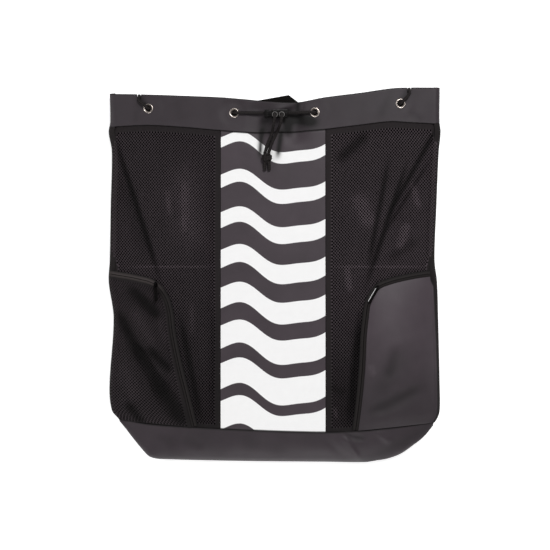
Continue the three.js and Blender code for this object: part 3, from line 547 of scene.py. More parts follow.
def fold_rise(folds, x, y):
    """Sum of the folds: a bell across each line that runs out smoothly at both its ends."""
    total = np.zeros(np.broadcast(x, y).shape)
    for x0, y0, x1, y1, width, height in folds:
        dx, dy = x1 - x0, y1 - y0
        length = math.hypot(dx, dy)
        t = ((x - x0) * dx + (y - y0) * dy) / length**2
        off = ((x - x0) * dy - (y - y0) * dx) / length
        ends = rise(t, 0, FOLD_RUNOUT) * (1 - rise(t, 1 - FOLD_RUNOUT, 1))
        total = total + height * ends * np.exp(-((off / width) ** 2))
    return total


def loose_rise(x, y):
    """Finer creases, and the part of the dents' depth that is form."""
    return fold_rise(CREASES, x, y) + DENT_FORM * fold_rise(DENTS, x, y)


def ripple(x, y, height, shortest=48):
    """Unevenness of handled cloth: plane waves, each longer than the last and turned from it."""
    total = np.zeros(np.broadcast(x, y).shape)
    for k in range(RIPPLE_WAVES):
        length = shortest * RIPPLE_GROWTH**k
        angle = RIPPLE_TURN * k
        place = x * math.cos(angle) + y * math.sin(angle)
        total = total + np.sin(place * 2 * math.pi / length + RIPPLE_SHIFT * k)
    return total * height / RIPPLE_SUM


def soft_height(x, y):
    """Arch between the side seams, 1 - |s|^3 across, with the main folds on it."""
    start = left_edge(y) + SIDE_TURN
    end = right_edge(y) - SIDE_TURN
    across = np.clip(2 * (x - start) / (end - start) - 1, -1, 1)
    seam = seam_height(y)
    arch = (crown_height(y) - seam) * (1 - np.abs(across) ** FULLNESS)
    return seam + arch + fold_rise(FOLDS, x, y)


def slopes(height, x, y):
    """Slopes of a height along X and Y, by steps to both sides."""
    slope_x = (height(x + SLOPE_STEP, y) - height(x - SLOPE_STEP, y)) / (2 * SLOPE_STEP)
    slope_y = (height(x, y + SLOPE_STEP) - height(x, y - SLOPE_STEP)) / (2 * SLOPE_STEP)
    return slope_x, slope_y


def flattened(height):
    """The same height with a flat spot under each front eyelet that blends out round it."""

    def height_with_spots(x, y):
        z = height(x, y)
        for ex, ey in FRONT_EYELETS:
            slope_x, slope_y = slopes(soft_height, ex, ey)
            plane = soft_height(ex, ey) + slope_x * (x - ex) + slope_y * (y - ey)
            z = mix(plane, z, rise(np.hypot(x - ex, y - ey), EYELET_FLAT, EYELET_BLEND))
        return z

    return height_with_spots


frame_front = flattened(soft_height)
front = flattened(lambda x, y: soft_height(x, y) + loose_rise(x, y) + ripple(x, y, CLOTH_RIPPLE))


def side_drop(x, y):
    """Drop of the quarter turn at both sides below the height of its seam."""
    share = np.clip(np.minimum(x - left_edge(y), right_edge(y) - x) / SIDE_TURN, 0, 1)
    half = (seam_height(y) - back_height(x, y)) / 2
    return half * (1 - np.sqrt(1 - (1 - share) ** 2))


def strap_line(t):
    """Line of the right shoulder strap: straight from top to low end with half a sine wave of bow."""
    x = mix(STRAPS_TOP[0], STRAPS_LOW[0], t) + STRAP_BOW * np.sin(np.pi * t)
    return x, mix(STRAPS_TOP[1], STRAPS_LOW[1], t)


def back_height(x, y):
    """The back lies on the floor, over a bed for each strap, and lifts to the rim."""
    run = STRAPS_TOP[1] - STRAPS_LOW[1]
    t = (STRAPS_TOP[1] - y) / run
    off = np.abs(np.abs(x) - strap_line(np.clip(t, 0, 1))[0])
    beyond = np.maximum(np.maximum(-t, t - 1) * run, 0)
    bed = STRAP_WIDTH / 2 + STRAP_BED
    over = (1 - rise(off, bed, bed + STRAP_SLOPE)) * (1 - rise(beyond, STRAP_ENDS, STRAP_ENDS * 2))
    return np.maximum((STRAP_THICK + STRAP_CLEAR) * over, RIM_LIFT * rise(y, *BACK_LIFT))


# Meshes


def grid(across, up):
    """Shares u across and v up of an even grid, rows from low to high."""
    return np.meshgrid(np.linspace(0, 1, across + 1), np.linspace(0, 1, up + 1))


def normals(points):
    """Unit normals of a grid of points, across each row times up the columns."""
    return unit(np.cross(np.gradient(points, axis=1), np.gradient(points, axis=0)))


def wall(outer, thickness, keep=None):
    """Closed cloth wall: a grid on the outer face and the same grid set in along its normals.

    Cells that keep leaves out are holes, and every edge of the kept cells gets a narrow side.
    """
    rows, columns = outer.shape[:2]
    inner = outer - normals(outer) * thickness
    cells = np.ones((rows - 1, columns - 1), bool) if keep is None else keep
    number = np.arange(rows * columns).reshape(rows, columns)
    below = rows * columns
    corners = np.stack([number[:-1, :-1], number[:-1, 1:], number[1:, 1:], number[1:, :-1]], -1)
    face = corners[cells]
    faces = [face, face[:, ::-1] + below]

    def sides(start, end, where):
        a, b = start[where], end[where]
        faces.append(np.stack([b, a, a + below, b + below], -1))

    ring = np.pad(cells, 1)
    low, high = ring[:-1, 1:-1], ring[1:, 1:-1]
    sides(number[:, :-1], number[:, 1:], high & ~low)
    sides(number[:, 1:], number[:, :-1], low & ~high)
    left, right = ring[1:-1, :-1], ring[1:-1, 1:]
    sides(number[1:], number[:-1], right & ~left)
    sides(number[:-1], number[1:], left & ~right)
    return np.vstack([outer.reshape(-1, 3), inner.reshape(-1, 3)]), faces


def both_faces(first, second):
    """Map of two numbers over a grid, the same on both faces of its wall."""
    return np.tile(np.stack([first, second], -1).reshape(-1, 2), (2, 1))


def joined(shapes):
    """Several shapes as one list of points and faces."""
    points, faces, count = [], [], 0
    for shape_points, shape_faces in shapes:
        points.append(shape_points)
        faces.extend(face + count for face in shape_faces)
        count += len(shape_points)
    return np.vstack(points), faces


def repeated(shape, places, axes):
    """Copies of a small shape: each point p goes to place + p . axes, with one set of axes a copy."""
    points, faces = shape
    count = len(points)
    moved = places[:, None] + np.einsum("pk,nkc->npc", points, axes)
    shift = (np.arange(len(places)) * count)[:, None, None]
    return moved.reshape(-1, 3), [(face[None] + shift).reshape(-1, face.shape[1]) for face in faces]


def rounds(rings, closed_ends=True):
    """Closed surface through rings of points, with its end rings filled or the last joined to the first."""
    rows, sides = rings.shape[:2]
    number = np.arange(rows * sides).reshape(rows, sides)
    there = np.roll(number, -1, axis=1)
    quads = np.stack([number[:-1], there[:-1], there[1:], number[1:]], -1).reshape(-1, 4)
    faces = [quads]
    if closed_ends:
        faces.extend([number[:1, ::-1], number[-1:]])
    else:
        faces.append(np.stack([number[-1], there[-1], there[0], number[0]], -1))
    return rings.reshape(-1, 3), faces


def turned(profile, sides, closed_ends=True):
    """Turned piece round its own Z axis, from pairs of radius and height that go up on the outside."""
    radius, height = np.asarray(profile, float).T
    angle = np.arange(sides) * 2 * np.pi / sides
    rings = vec(radius[:, None] * np.cos(angle), radius[:, None] * np.sin(angle), height[:, None])
    return rounds(rings, closed_ends)


def laid(shape, axis, place):
    """A shape whose own Z axis is laid along a direction, at a place."""
    z = unit(np.asarray(axis, float))
    guide = np.array([0.0, 1.0, 0.0]) if abs(z[1]) < 0.9 else np.array([1.0, 0.0, 0.0])
    x = unit(np.cross(guide, z))
    turn = np.stack([x, np.cross(z, x), z])
    return shape[0] @ turn + place, shape[1]


def tube(path, radius, sides, relief=None):
    """Round cord along fine points: rings square to the line, with a relief over angle and length.

    Returns the shape and, for each point, its share round the cord and its length along it.
    """
    way = unit(np.gradient(path, axis=0))
    side = unit(np.cross(way, CORD_GUIDE))
    other = np.cross(way, side)
    walked = walk(path)[:, None]
    angle = (np.arange(sides) * 2 * np.pi / sides)[None, :]
    swell = radius if relief is None else radius * (1 + relief(angle, walked))
    swell = np.broadcast_to(swell, (len(path), sides))[..., None]
    ring = side[:, None] * np.cos(angle)[..., None] + other[:, None] * np.sin(angle)[..., None]
    uv = np.stack(np.broadcast_arrays(angle / (2 * np.pi), walked * MM), -1)
    return rounds(path[:, None] + ring * swell), uv.reshape(-1, 2)


def braid(angle, walked):
    """Relief of a braid: the product of two waves that wind round the cord in opposite ways."""
    wind = 2 * np.pi * walked / BRAID_PITCH
    turn = BRAID_CARRIERS * angle
    return BRAID_RELIEF * np.cos(turn + wind) * np.cos(turn - wind)


def net(surface, size, holes):
    """Knitted net on a lattice of half cells over a panel of a size.

    Sites with an odd sum are knots. Each even site is the middle of a diamond between four knots, and
    gets an eight-sided hole where holes(u, v) says so. The knots stand up and the holes' edges dip.
    Returns the shape and the shares u and v of its points.
    """
    half = [round(2 * length / cell) // 2 * 2 for length, cell in zip(size, (NET_CELL_X, NET_CELL_Y))]
    i, j = np.meshgrid(np.arange(half[0] + 1), np.arange(half[1] + 1))
    even = (i + j) % 2 == 0
    border = (i == 0) | (j == 0) | (i == half[0]) | (j == half[1])
    opened = even & ~border & holes(i / half[0], j / half[1])
    used = ~even | border
    number = np.full(i.shape, -1)
    number[used] = np.arange(used.sum())
    site = np.stack([i, j], -1).astype(float)
    angle = np.arange(8) * np.pi / 4
    reach = np.where(np.arange(8) % 2 == 0, *NET_HOLE)
    ring_at = site[opened][:, None] + np.stack([np.cos(angle), np.sin(angle)], -1) * reach[:, None]
    ring = used.sum() + np.arange(len(ring_at) * 8).reshape(-1, 8)
    u, v = (np.vstack([site[used], ring_at.reshape(-1, 2)]) / half).T
    lift = np.concatenate([np.where(even[used], 0.0, NET_KNOT), np.full(ring.size, NET_DIP)])

    def around(where):
        """Numbers of the east, north, west and south neighbours of sites."""
        y, x = np.nonzero(where)
        return number[y, x + 1], number[y + 1, x], number[y, x - 1], number[y - 1, x]

    faces = [np.stack(around(even & ~border & ~opened), -1)]
    knots = around(opened)
    for k in range(4):
        here, there = knots[k], knots[(k + 1) % 4]
        first, middle, after = ring[:, 2 * k], ring[:, 2 * k + 1], ring[:, (2 * k + 2) % 8]
        for corners in ([here, there, middle], [first, here, middle], [middle, there, after]):
            faces.append(np.stack(corners, -1))
    edge = np.concatenate([number[0, :-1], number[:-1, -1], number[-1, :0:-1], number[:0:-1, 0]])
    inside = np.concatenate([number[1, :-1], number[:-1, -2], number[-2, :0:-1], number[:0:-1, 1]])
    ahead, behind = np.roll(edge, -1), np.roll(edge, 1)
    corner = np.isin(edge, number[[0, 0, -1, -1], [0, -1, 0, -1]])
    plain = (np.arange(len(edge)) % 2 == 0) & ~corner
    faces.append(np.stack([edge, ahead, inside], -1)[plain])
    faces.append(np.stack([behind, edge, inside], -1)[plain])
    faces.append(np.stack([edge, ahead, behind], -1)[corner])
    step_u, step_v = 0.5 / half[0], 0.5 / half[1]
    way_u = surface(u + step_u, v) - surface(u - step_u, v)
    way_v = surface(u, v + step_v) - surface(u, v - step_v)
    out = unit(np.cross(way_u, way_v))
    top = surface(u, v) + out * lift[:, None]
    count = len(top)
    under = [face[:, ::-1] + count for face in faces]
    next_ring = np.roll(ring, -1, axis=1)
    hole_sides = np.stack([ring, next_ring, next_ring + count, ring + count], -1).reshape(-1, 4)
    rim_sides = np.stack([ahead, edge, edge + count, ahead + count], -1)
    shape = np.vstack([top, top - out * NET_THICK]), [*faces, *under, hole_sides, rim_sides]
    return shape, np.tile(u, 2), np.tile(v, 2)


def make_mesh(name, points, faces, uv=None):
    """Mesh in metres from points and arrays of faces, smooth but for edges over 45 degrees."""
    kept, corners = np.unique(np.concatenate([face.ravel() for face in faces]), return_inverse=True)
    sizes = np.concatenate([np.full(len(face), face.shape[1]) for face in faces])
    starts = np.concatenate([[0], np.cumsum(sizes)[:-1]])
    mesh = bpy.data.meshes.new(name)
    mesh.vertices.add(len(kept))
    mesh.loops.add(len(corners))
    mesh.polygons.add(len(sizes))
    mesh.vertices.foreach_set("co", (points[kept] * MM).astype(np.float32).ravel())
    mesh.loops.foreach_set("vertex_index", corners.astype(np.int32))
    mesh.polygons.foreach_set("loop_start", starts.astype(np.int32))
    if uv is not None:
        layer = mesh.uv_layers.new(name="UVMap")
        layer.data.foreach_set("uv", uv[kept][corners].astype(np.float32).ravel())
    mesh.update(calc_edges=True)
    mesh.validate()
    mesh.shade_smooth()
    mesh.set_sharp_from_angle(angle=math.radians(45))
    return mesh


def piece(name, shape, finish, slot, *nodes, body="bag", uv=None):
    """Object of one shape with its finish, which rides on a body and stands for CAD nodes."""
    thing = bpy.data.objects.new(name, make_mesh(name, *shape, uv=uv))
    scene.collection.objects.link(thing)
    thing.data.materials.append(finish)
    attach(thing, body)
    if nodes:
        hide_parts(*nodes)
    return thing


# Finishes


class Value:
    """A number on a socket, so that sums and products of values add Math nodes."""

    def __init__(self, finish, socket):
        self.finish = finish
        self.socket = socket

    def math(self, operation, *others):
        inputs = dict(enumerate([self, *others]))
        return self.finish.value("ShaderNodeMath", {"operation": operation}, inputs)

    def __add__(self, other):
        return self.math("ADD", other)

    def __sub__(self, other):
        return self.math("SUBTRACT", other)

    def __rsub__(self, other):
        return (self * -1).math("ADD", other)

    def __mul__(self, other):
        return self.math("MULTIPLY", other)

    def __truediv__(self, other):
        return self.math("DIVIDE", other)

    __radd__ = __add__
    __rmul__ = __mul__

    def sine(self):
        return self.math("SINE")

    def wave(self, length, shift=0.0):
        """Sine wave of a length along this value, moved on by an angle."""
        return (self * 2 * math.pi / length + shift).sine()

    def between(self, low, high):
        """Smooth step of this value from low to high."""
        settings = {"interpolation_type": "SMOOTHSTEP"}
        inputs = {"Value": self, "From Min": low, "From Max": high}
        return self.finish.value("ShaderNodeMapRange", settings, inputs, "Result")


class Finish:
    """A material with one shader; what is the same all over goes straight on the shader's sockets."""

    def __init__(self, name, constants):
        self.material = bpy.data.materials.new(name)
        self.material.use_nodes = True
        self.tree = self.material.node_tree
        self.shader = self.tree.nodes["Principled BSDF"]
        self.give(self.shader, constants)

    def give(self, node, inputs):
        """Sets constants on a node's sockets, and links values and other sockets to them."""
        for key, given in inputs.items():
            source = given.socket if isinstance(given, Value) else given
            if isinstance(source, bpy.types.NodeSocket):
                self.tree.links.new(source, node.inputs[key])
            else:
                node.inputs[key].default_value = source

    def node(self, kind, settings, inputs):
        """Any node: its settings first, then constants or links for its sockets."""
        node = self.tree.nodes.new(kind)
        for key, setting in settings.items():
            setattr(node, key, setting)
        self.give(node, inputs)
        return node

    def value(self, kind, settings, inputs, output=0):
        return Value(self, self.node(kind, settings, inputs).outputs[output])

    def place(self):
        """Object coordinates."""
        return self.node("ShaderNodeTexCoord", {}, {}).outputs["Object"]

    def parts(self, vector):
        """X, Y and Z of a vector."""
        outputs = self.node("ShaderNodeSeparateXYZ", {}, {0: vector}).outputs
        return [Value(self, output) for output in outputs]

    def uv(self):
        """The two numbers of the piece's own map.

        They are the share round or across and the metres along for cords, webbing and tapes, the painted
        shade of the edge and of the dents for coated cloth, the hem and the share of painted light for nets,
        and the inner face, painted as shade, for the back.
        """
        vector = self.node("ShaderNodeUVMap", {"uv_map": "UVMap"}, {}).outputs[0]
        return self.parts(vector)[:2]

    def noise(self, vector, scale, detail=2.0):
        inputs = {"Vector": vector, "Scale": scale, "Detail": detail}
        return self.value("ShaderNodeTexNoise", {}, inputs, "Fac")

    def blend(self, factor, color, other):
        """Mix of two colours, each a constant or a socket."""
        inputs = {0: factor, 6: color, 7: other}
        return self.node("ShaderNodeMix", {"data_type": "RGBA"}, inputs).outputs[2]

    def tones(self, factor, color, dark, light):
        """Mix of two shades of one colour."""
        return self.blend(factor, shade(color, dark), shade(color, light))

    def made(self, color, roughness, height, distance, strength):
        """The material with its colour, its roughness and a bump of a height from 0 to 1 over a distance."""
        inputs = {"Height": height, "Distance": distance, "Strength": strength}
        bump = self.node("ShaderNodeBump", {}, inputs).outputs[0]
        self.give(self.shader, {"Base Color": color, "Roughness": roughness, "Normal": bump})
        return self.material


def rgb(red, green, blue):
    return (red, green, blue, 1.0)


def shade(color, factor):
    return (*[channel * factor for channel in color[:3]], 1.0)


# Linear colours, and the pitches of weaves and knits in metres

COATED_COLOR = rgb(0.0315, 0.0238, 0.0288)
# Painted shade along seams and folded edges of the coated cloth
EDGE_SHADE_COLOR = rgb(0.012, 0.0098, 0.0105)
INK_COLOR = rgb(0.98, 0.975, 0.975)
YARN_COLOR = rgb(0.099, 0.077, 0.088)
HEM_COLOR = rgb(0.026, 0.020, 0.022)
TAPE_COLOR = rgb(0.017, 0.0141, 0.0139)
# Colour that painted shade goes towards: in dents, creases and net folds, under the pocket and on the back's
# inner face
PAINTED_SHADE_COLOR = rgb(0.0036, 0.0029, 0.0029)
BACK_COLORS = (rgb(0.009, 0.0072, 0.0074), rgb(0.020, 0.0165, 0.017))
CORD_COLORS = (rgb(0.005, 0.0041, 0.0041), rgb(0.024, 0.0198, 0.0198))
# Webbing: black, and darker still as painted shade of the haul loop under the back rim
WEB_COLORS = (rgb(0.0025, 0.002, 0.0019), rgb(0.009, 0.0072, 0.007))
# Painted shade in the zip's slit and along the tape's edges
SLIT_SHADE_COLOR = rgb(0.002, 0.0016, 0.0016)
SCRIM_PITCH = 0.0016
FIBRE_PITCH = 0.0005
WEAVE_PITCH = 0.0011
WEFT_PITCH = 0.0014
TAPE_PITCH = 0.0016
TAPE_RIB = 0.0009
TAPE_PALE_FROM = (-0.03, -0.012)
# White bands of the strip: length, shift and height of the waves that bend them
BAND_BENDS = [(0.19, 0.6, 0.017), (0.083, 2.0, 0.004)]
BAND_PITCH = 0.062
BAND_THIN = 3.1
BAND_CUT = 0.02
BAND_SOFT = 0.035


def wave_print(x, y):
    """White wave bands across the strip: waves in x bend the bands, which thin out towards the mouth."""
    bent = y
    for length, shift, height in BAND_BENDS:
        bent = bent + x.wave(length, shift) * height
    cut = y * BAND_THIN + BAND_CUT
    return bent.wave(BAND_PITCH).between(cut - BAND_SOFT, cut + BAND_SOFT)


def coated_finish(name, painted_light_factor, printed=False):
    """Coated cloth: soft sheen, pebble grain and a faint scrim, lighter by a factor as painted light, with
    painted shade along its edge and in its dents by its map.
    """
    finish = Finish(name, {"Specular IOR Level": 0.36})
    vector = finish.place()
    x, y, _ = finish.parts(vector)
    edge, black = finish.uv()
    tone = finish.noise(vector, 13.0, 3.0) * 0.7 + finish.noise(vector, 60.0) * 0.3
    # The factor makes lighter copies of the one cloth: painted light
    color = finish.tones(tone, COATED_COLOR, 0.62 * painted_light_factor, 1.38 * painted_light_factor)
    gloss = finish.noise(vector, 24.0, 3.0) * 0.16 + 0.46 + edge * 0.3 + black * 0.2
    if printed:
        ink = wave_print(x, y)
        color = finish.blend(ink, color, finish.tones(finish.noise(vector, 90.0), INK_COLOR, 0.95, 1.0))
        gloss = gloss + ink * 0.08
    # Painted shade: dark along seams and folded edges by the edge map, and darker still in dents by the
    # black map
    color = finish.blend(black, finish.blend(edge, color, EDGE_SHADE_COLOR), PAINTED_SHADE_COLOR)
    scrim = x.wave(SCRIM_PITCH) * y.wave(SCRIM_PITCH)
    relief = finish.noise(vector, 1500.0, 1.0) * 0.8 + scrim * 0.1 + 0.1
    return finish.made(color, gloss, relief, 0.00012, 0.6)


def net_finish(name, strong):
    """Knitted yarn: filaments along both diagonals, matt, its hems darker, with the map's share of light."""
    finish = Finish(name, {"Specular IOR Level": 0.2})
    vector = finish.place()
    x, y, _ = finish.parts(vector)
    hem, light = finish.uv()
    tone = finish.noise(vector, 14.0, 3.0) * 0.6 + finish.noise(vector, 400.0) * 0.4
    yarn = finish.tones(tone, YARN_COLOR, 0.75 * strong, 1.3 * strong)
    edged = finish.blend(hem.between(0.3, 0.7), yarn, HEM_COLOR)
    color = finish.blend(light, PAINTED_SHADE_COLOR, edged)
    fibre = (x + y).wave(FIBRE_PITCH) * (x - y).wave(FIBRE_PITCH)
    return finish.made(color, finish.noise(vector, 300.0) * 0.2 + 0.68, fibre * 0.5 + 0.5, 0.0001, 0.6)


def woven_finish():
    """Plain weave of the back: two crossing waves, one over the other in turn, with its inner face painted
    near black as shade inside the bag.
    """
    finish = Finish("back_cloth", {"Specular IOR Level": 0.15})
    vector = finish.place()
    x, y, _ = finish.parts(vector)
    inside, _ = finish.uv()
    weave = x.wave(WEAVE_PITCH) * y.wave(WEAVE_PITCH)
    tone = finish.noise(vector, 16.0, 3.0) * 0.5 + weave * 0.2 + 0.25
    color = finish.blend(inside, finish.blend(tone, *BACK_COLORS), PAINTED_SHADE_COLOR)
    return finish.made(color, finish.noise(vector, 40.0) * 0.2 + 0.62, weave * 0.5 + 0.5, 0.0002, 0.7)


def braid_finish():
    """Braided cord: light and dark carriers that wind both ways round it."""
    finish = Finish("braided_cord", {"Specular IOR Level": 0.15})
    share, walked = finish.uv()
    wind = walked * (2 * math.pi / (BRAID_PITCH * MM))
    turn = share * (2 * math.pi * BRAID_CARRIERS)
    carriers = (turn + wind + math.pi / 2).sine() * (turn - wind + math.pi / 2).sine()
    filament = ((turn + wind) * 6).sine() * 0.3
    color = finish.blend(carriers * 0.4 + filament * 0.3 + 0.5, *CORD_COLORS)
    relief = carriers * 0.4 + filament * 0.2 + 0.5
    return finish.made(color, carriers * 0.1 + 0.68, relief, 0.0003, 0.7)


def webbing_finish():
    """Webbing: ribs along it and a fine weft across them."""
    finish = Finish("webbing", {"Specular IOR Level": 0.08})
    share, walked = finish.uv()
    ribs = share.wave(1 / WEB_RIBS)
    weft = (walked * (2 * math.pi / WEFT_PITCH) + share.wave(2 / WEB_RIBS) * 1.5).sine()
    color = finish.blend(weft * 0.25 + ribs * 0.2 + 0.5, *WEB_COLORS)
    return finish.made(color, ribs * 0.08 + 0.68, weft * 0.3 + ribs * 0.3 + 0.5, 0.0003, 0.8)


def tape_finish(name, pale):
    """Zip tape: fine herringbone, with painted light on the lip each side of the slit and painted shade in
    the slit and along both edges, paler above the pocket.
    """
    finish = Finish(name, {"Specular IOR Level": 0.15})
    _, y, _ = finish.parts(finish.place())
    share, walked = finish.uv()
    slant = (share * 40.0 + walked * (2 * math.pi / TAPE_PITCH)).sine()
    rib = walked.wave(TAPE_RIB)
    bands = share.wave(0.5, -math.pi / 2)
    lighter = finish.tones(y.between(*TAPE_PALE_FROM), TAPE_COLOR, 1.0, pale)
    # Painted light on the lips, painted shade in the slit and at the edges
    color = finish.blend(bands * 0.42 + slant * 0.12 + 0.46, SLIT_SHADE_COLOR, lighter)
    return finish.made(color, rib * 0.06 + 0.64, slant * 0.3 + rib * 0.2 + 0.5, 0.00015, 0.7)


def moulded_finish(name, color, roughness, grain):
    """Moulded plastic: fine grain and a slow change of gloss."""
    finish = Finish(name, {"Specular IOR Level": 0.12})
    vector = finish.place()
    tone = finish.tones(finish.noise(vector, 200.0), color, 0.75, 1.25)
    gloss = finish.noise(vector, 350.0) * 0.2 + roughness - 0.1
    return finish.made(tone, gloss, finish.noise(vector, 2500.0, 1.0), grain, 0.5)


def metal_finish(name, color, roughness):
    """Plated metal: fine tarnish in the tone and small scratches in the gloss."""
    finish = Finish(name, {"Metallic": 1.0})
    vector = finish.place()
    tone = finish.tones(finish.noise(vector, 260.0, 4.0), color, 0.7, 1.0)
    gloss = finish.noise(vector, 900.0, 3.0) * 0.22 + roughness - 0.1
    return finish.made(tone, gloss, finish.noise(vector, 1800.0), 0.00004, 0.5)


# Copies of the one coated cloth, made lighter for the base, the pocket and the strip: painted light
coated = coated_finish("coated_cloth", 1.0)
coated_base = coated_finish("coated_base", 1.12)
coated_pouch = coated_finish("coated_pouch", 1.75)
coated_print = coated_finish("coated_strip", 1.5, printed=True)
netting = net_finish("net", 1.0)
pocket_netting = net_finish("pocket_net", 0.9)
back_cloth = woven_finish()
cording = braid_finish()
webbing = webbing_finish()
tapes = {"mesh": tape_finish("zip_tape_left", 3.2), "coated": tape_finish("zip_tape_right", 1.2)}
plastic = moulded_finish("lock_plastic", rgb(0.005, 0.0042, 0.0042), 0.5, 0.00006)
# Light grey rings round the lock's holes: a painted highlight on their rims
ring_highlight_plastic = moulded_finish("lock_rings", rgb(0.22, 0.21, 0.205), 0.3, 0.00003)
nickel = metal_finish("nickel", rgb(0.80, 0.71, 0.65), 0.3)
black_metal = metal_finish("black_metal", rgb(0.010, 0.009, 0.009), 0.4)
steel = metal_finish("steel", rgb(0.95, 0.95, 0.95), 0.5)


# Camera, floor and light

PHOTO_WIDTH = 0.880
PHOTO_PLANE = 0.030
HALF_PIXEL = 0.0008
LENS = 85.0
SENSOR = 36.0
PAPER_GLOW = 0.6
FLOOR_HALF = 20.0
FLOOR_DROP = 2e-4
SKY_GLOW = 0.2
WHITE = rgb(1.0, 1.0, 1.0)
# Soft boxes: place, side and power
LAMPS = {
    "key": ((0.8, 1.4, 2.4), 0.9, 46),
    "side": ((-1.8, 0.3, 1.3), 1.2, 13),
    "low": ((0.2, -2.0, 1.1), 1.4, 20),
}


def studio():
    """Camera straight above at the photo's scale, a pale floor, and soft boxes to the sides."""
    camera = bpy.data.cameras.new("camera")
    camera.lens = LENS
    camera.sensor_width = SENSOR
    stand = bpy.data.objects.new("camera", camera)
    stand.location = (HALF_PIXEL, -HALF_PIXEL, PHOTO_PLANE + PHOTO_WIDTH * LENS / SENSOR)
    scene.collection.objects.link(stand)
    scene.camera = stand
    floor = bpy.data.objects.new("floor", bpy.data.meshes.new("floor"))
    around = [(-1, -1), (1, -1), (1, 1), (-1, 1)]
    corners = [(x * FLOOR_HALF, y * FLOOR_HALF, -FLOOR_DROP) for x, y in around]
    floor.data.from_pydata(corners, [], [(0, 1, 2, 3)])
    paper = Finish("paper", {
        "Base Color": rgb(0.92, 0.92, 0.92), "Roughness": 0.9, "Specular IOR Level": 0.2,
        "Emission Color": WHITE, "Emission Strength": PAPER_GLOW,
    })
    floor.data.materials.append(paper.material)
    scene.collection.objects.link(floor)
    for name, (place, size, power) in LAMPS.items():
        lamp = bpy.data.lights.new(name, "AREA")
        lamp.shape = "SQUARE"
        lamp.size = size
        lamp.energy = power
        box = bpy.data.objects.new(name, lamp)
        box.location = place
        box.rotation_euler = (-box.location).to_track_quat("-Z", "Y").to_euler()
        scene.collection.objects.link(box)
    world = bpy.data.worlds.new("studio")
    world.use_nodes = True
    sky = world.node_tree.nodes["Background"]
    sky.inputs["Color"].default_value = WHITE
    sky.inputs["Strength"].default_value = SKY_GLOW
    scene.world = world
    scene.view_settings.view_transform = "Standard"


studio()


# Cord, eyelets and lock


def eyelet_spots():
    """Middle of the cloth and the direction out of it at each front and back eyelet."""
    spots = []
    for x, y in FRONT_EYELETS:
        slope_x, slope_y = slopes(soft_height, x, y)
        out = unit(np.array([-slope_x, -slope_y, 1.0]))
        spots.append((np.array([x, y, float(soft_height(x, y))]) - out * CLOTH / 2, out))
    back = [(np.array([x, y, RIM_LIFT + CLOTH / 2]), np.array([0.0, 0.0, -1.0])) for x, y in BACK_EYELETS]
    return spots, back


front_spots, back_spots = eyelet_spots()
lock_middle = np.array([LOCK_X, LOCK_Y, float(frame_front(LOCK_X, LOCK_Y)) + LOCK_STAND])
hole_axis = np.array([0.0, -math.sin(LOCK_LEAN), math.cos(LOCK_LEAN)])


def hole_at(side):
    return lock_middle + np.array([HOLES_OFF + side * LOCK_SPACING / 2, 0, 0])


def heading(start, end):
    """Level direction from one place to another."""
    return unit(np.array([end[0] - start[0], end[1] - start[1], 0.0]))


def through_eyelet(spot, arriving, leaving, near):
    """Quarter bend off the near face into the bore, then a quarter bend on to the far face."""
    middle, out = spot
    angle = np.pi / 2 * np.linspace(0, 1, 4)[:, None]

    def bend(way, face, sign):
        level = sign * CORD_BEND * (1 - np.sin(angle))
        return middle + way * level + out * face * (EYELET_RUN - CORD_BEND * (1 - np.cos(angle)))

    return np.vstack([bend(arriving, near, -1), bend(leaving, -near, 1)[::-1]])


def out_of_lock(side):
    """From a hole of the lock straight to the cloth, then a quarter bend outwards along X."""
    start = hole_at(side)
    straight = start - hole_axis * np.array([[CORD_IN_HOLE], [EXIT_CLEAR]])
    angle = np.pi / 2 * np.array([[1 / 3], [2 / 3], [1]])
    outwards = np.array([side * EXIT_BEND, 0, 0]) * (1 - np.cos(angle))
    return np.vstack([straight, start - hole_axis * (EXIT_CLEAR + EXIT_BEND * np.sin(angle)) + outwards])


def over_edge(x):
    """Over the rim's top edge, down past the mouth and under the back rim's edge."""
    y = float(rim_top(x))
    z = float(frame_front(x, y)) - CLOTH / 2
    under = RIM_LIFT + CLOTH / 2 - EYELET_RUN
    beyond = CORD_LIE + 0.8
    return np.array([
        (x, y - 4, z + 4.4),
        (x, y + 1.4, z + 3.5),
        (x, y + beyond, z),
        (x, y + beyond, mix(z, under, 0.5)),
        (x, y + beyond, under + 4),
        (x, y + beyond - 1.4, under + 1.2),
        (x, y + beyond - 4.4, under),
    ])


def quarters(start, end):
    """X and Y a quarter, a half and three quarters of the way between two places."""
    return mix(start[:, None], end[:, None], np.array([0.25, 0.5, 0.75]))


def inside_run(start, end):
    """Along the inner face between two eyelets."""
    x, y = quarters(start, end)
    return vec(x, y, frame_front(x, y) - CLOTH - CORD_INSIDE)


def drawcord_route():
    """The whole cord from one hole of the lock through every eyelet to the other hole."""
    g1, g2, g3, g4 = FRONT_EYELETS
    s1, s2, s3, s4 = front_spots
    b1, b4 = BACK_EYELETS
    r1, r4 = back_spots
    lock_left, lock_right = out_of_lock(-1), out_of_lock(1)[::-1]
    edge_left, edge_right = over_edge(CORD_OVER[0]), over_edge(CORD_OVER[1])[::-1]
    return np.vstack([
        lock_left,
        through_eyelet(s2, heading(lock_left[-1], g2), heading(g2, g1), 1),
        inside_run(g2, g1),
        through_eyelet(s1, heading(g2, g1), heading(g1, edge_left[0]), -1),
        edge_left,
        through_eyelet(r1, heading(edge_left[-1], b1), heading(b1, b4), 1),
        vec(*quarters(b1, b4), RIM_LIFT + CLOTH + CORD_INSIDE),
        through_eyelet(r4, heading(b1, b4), heading(b4, edge_right[0]), -1),
        edge_right,
        through_eyelet(s4, heading(edge_right[-1], g4), heading(g4, g3), 1),
        inside_run(g4, g3),
        through_eyelet(s3, heading(g4, g3), heading(g3, lock_right[0]), -1),
        lock_right,
    ])


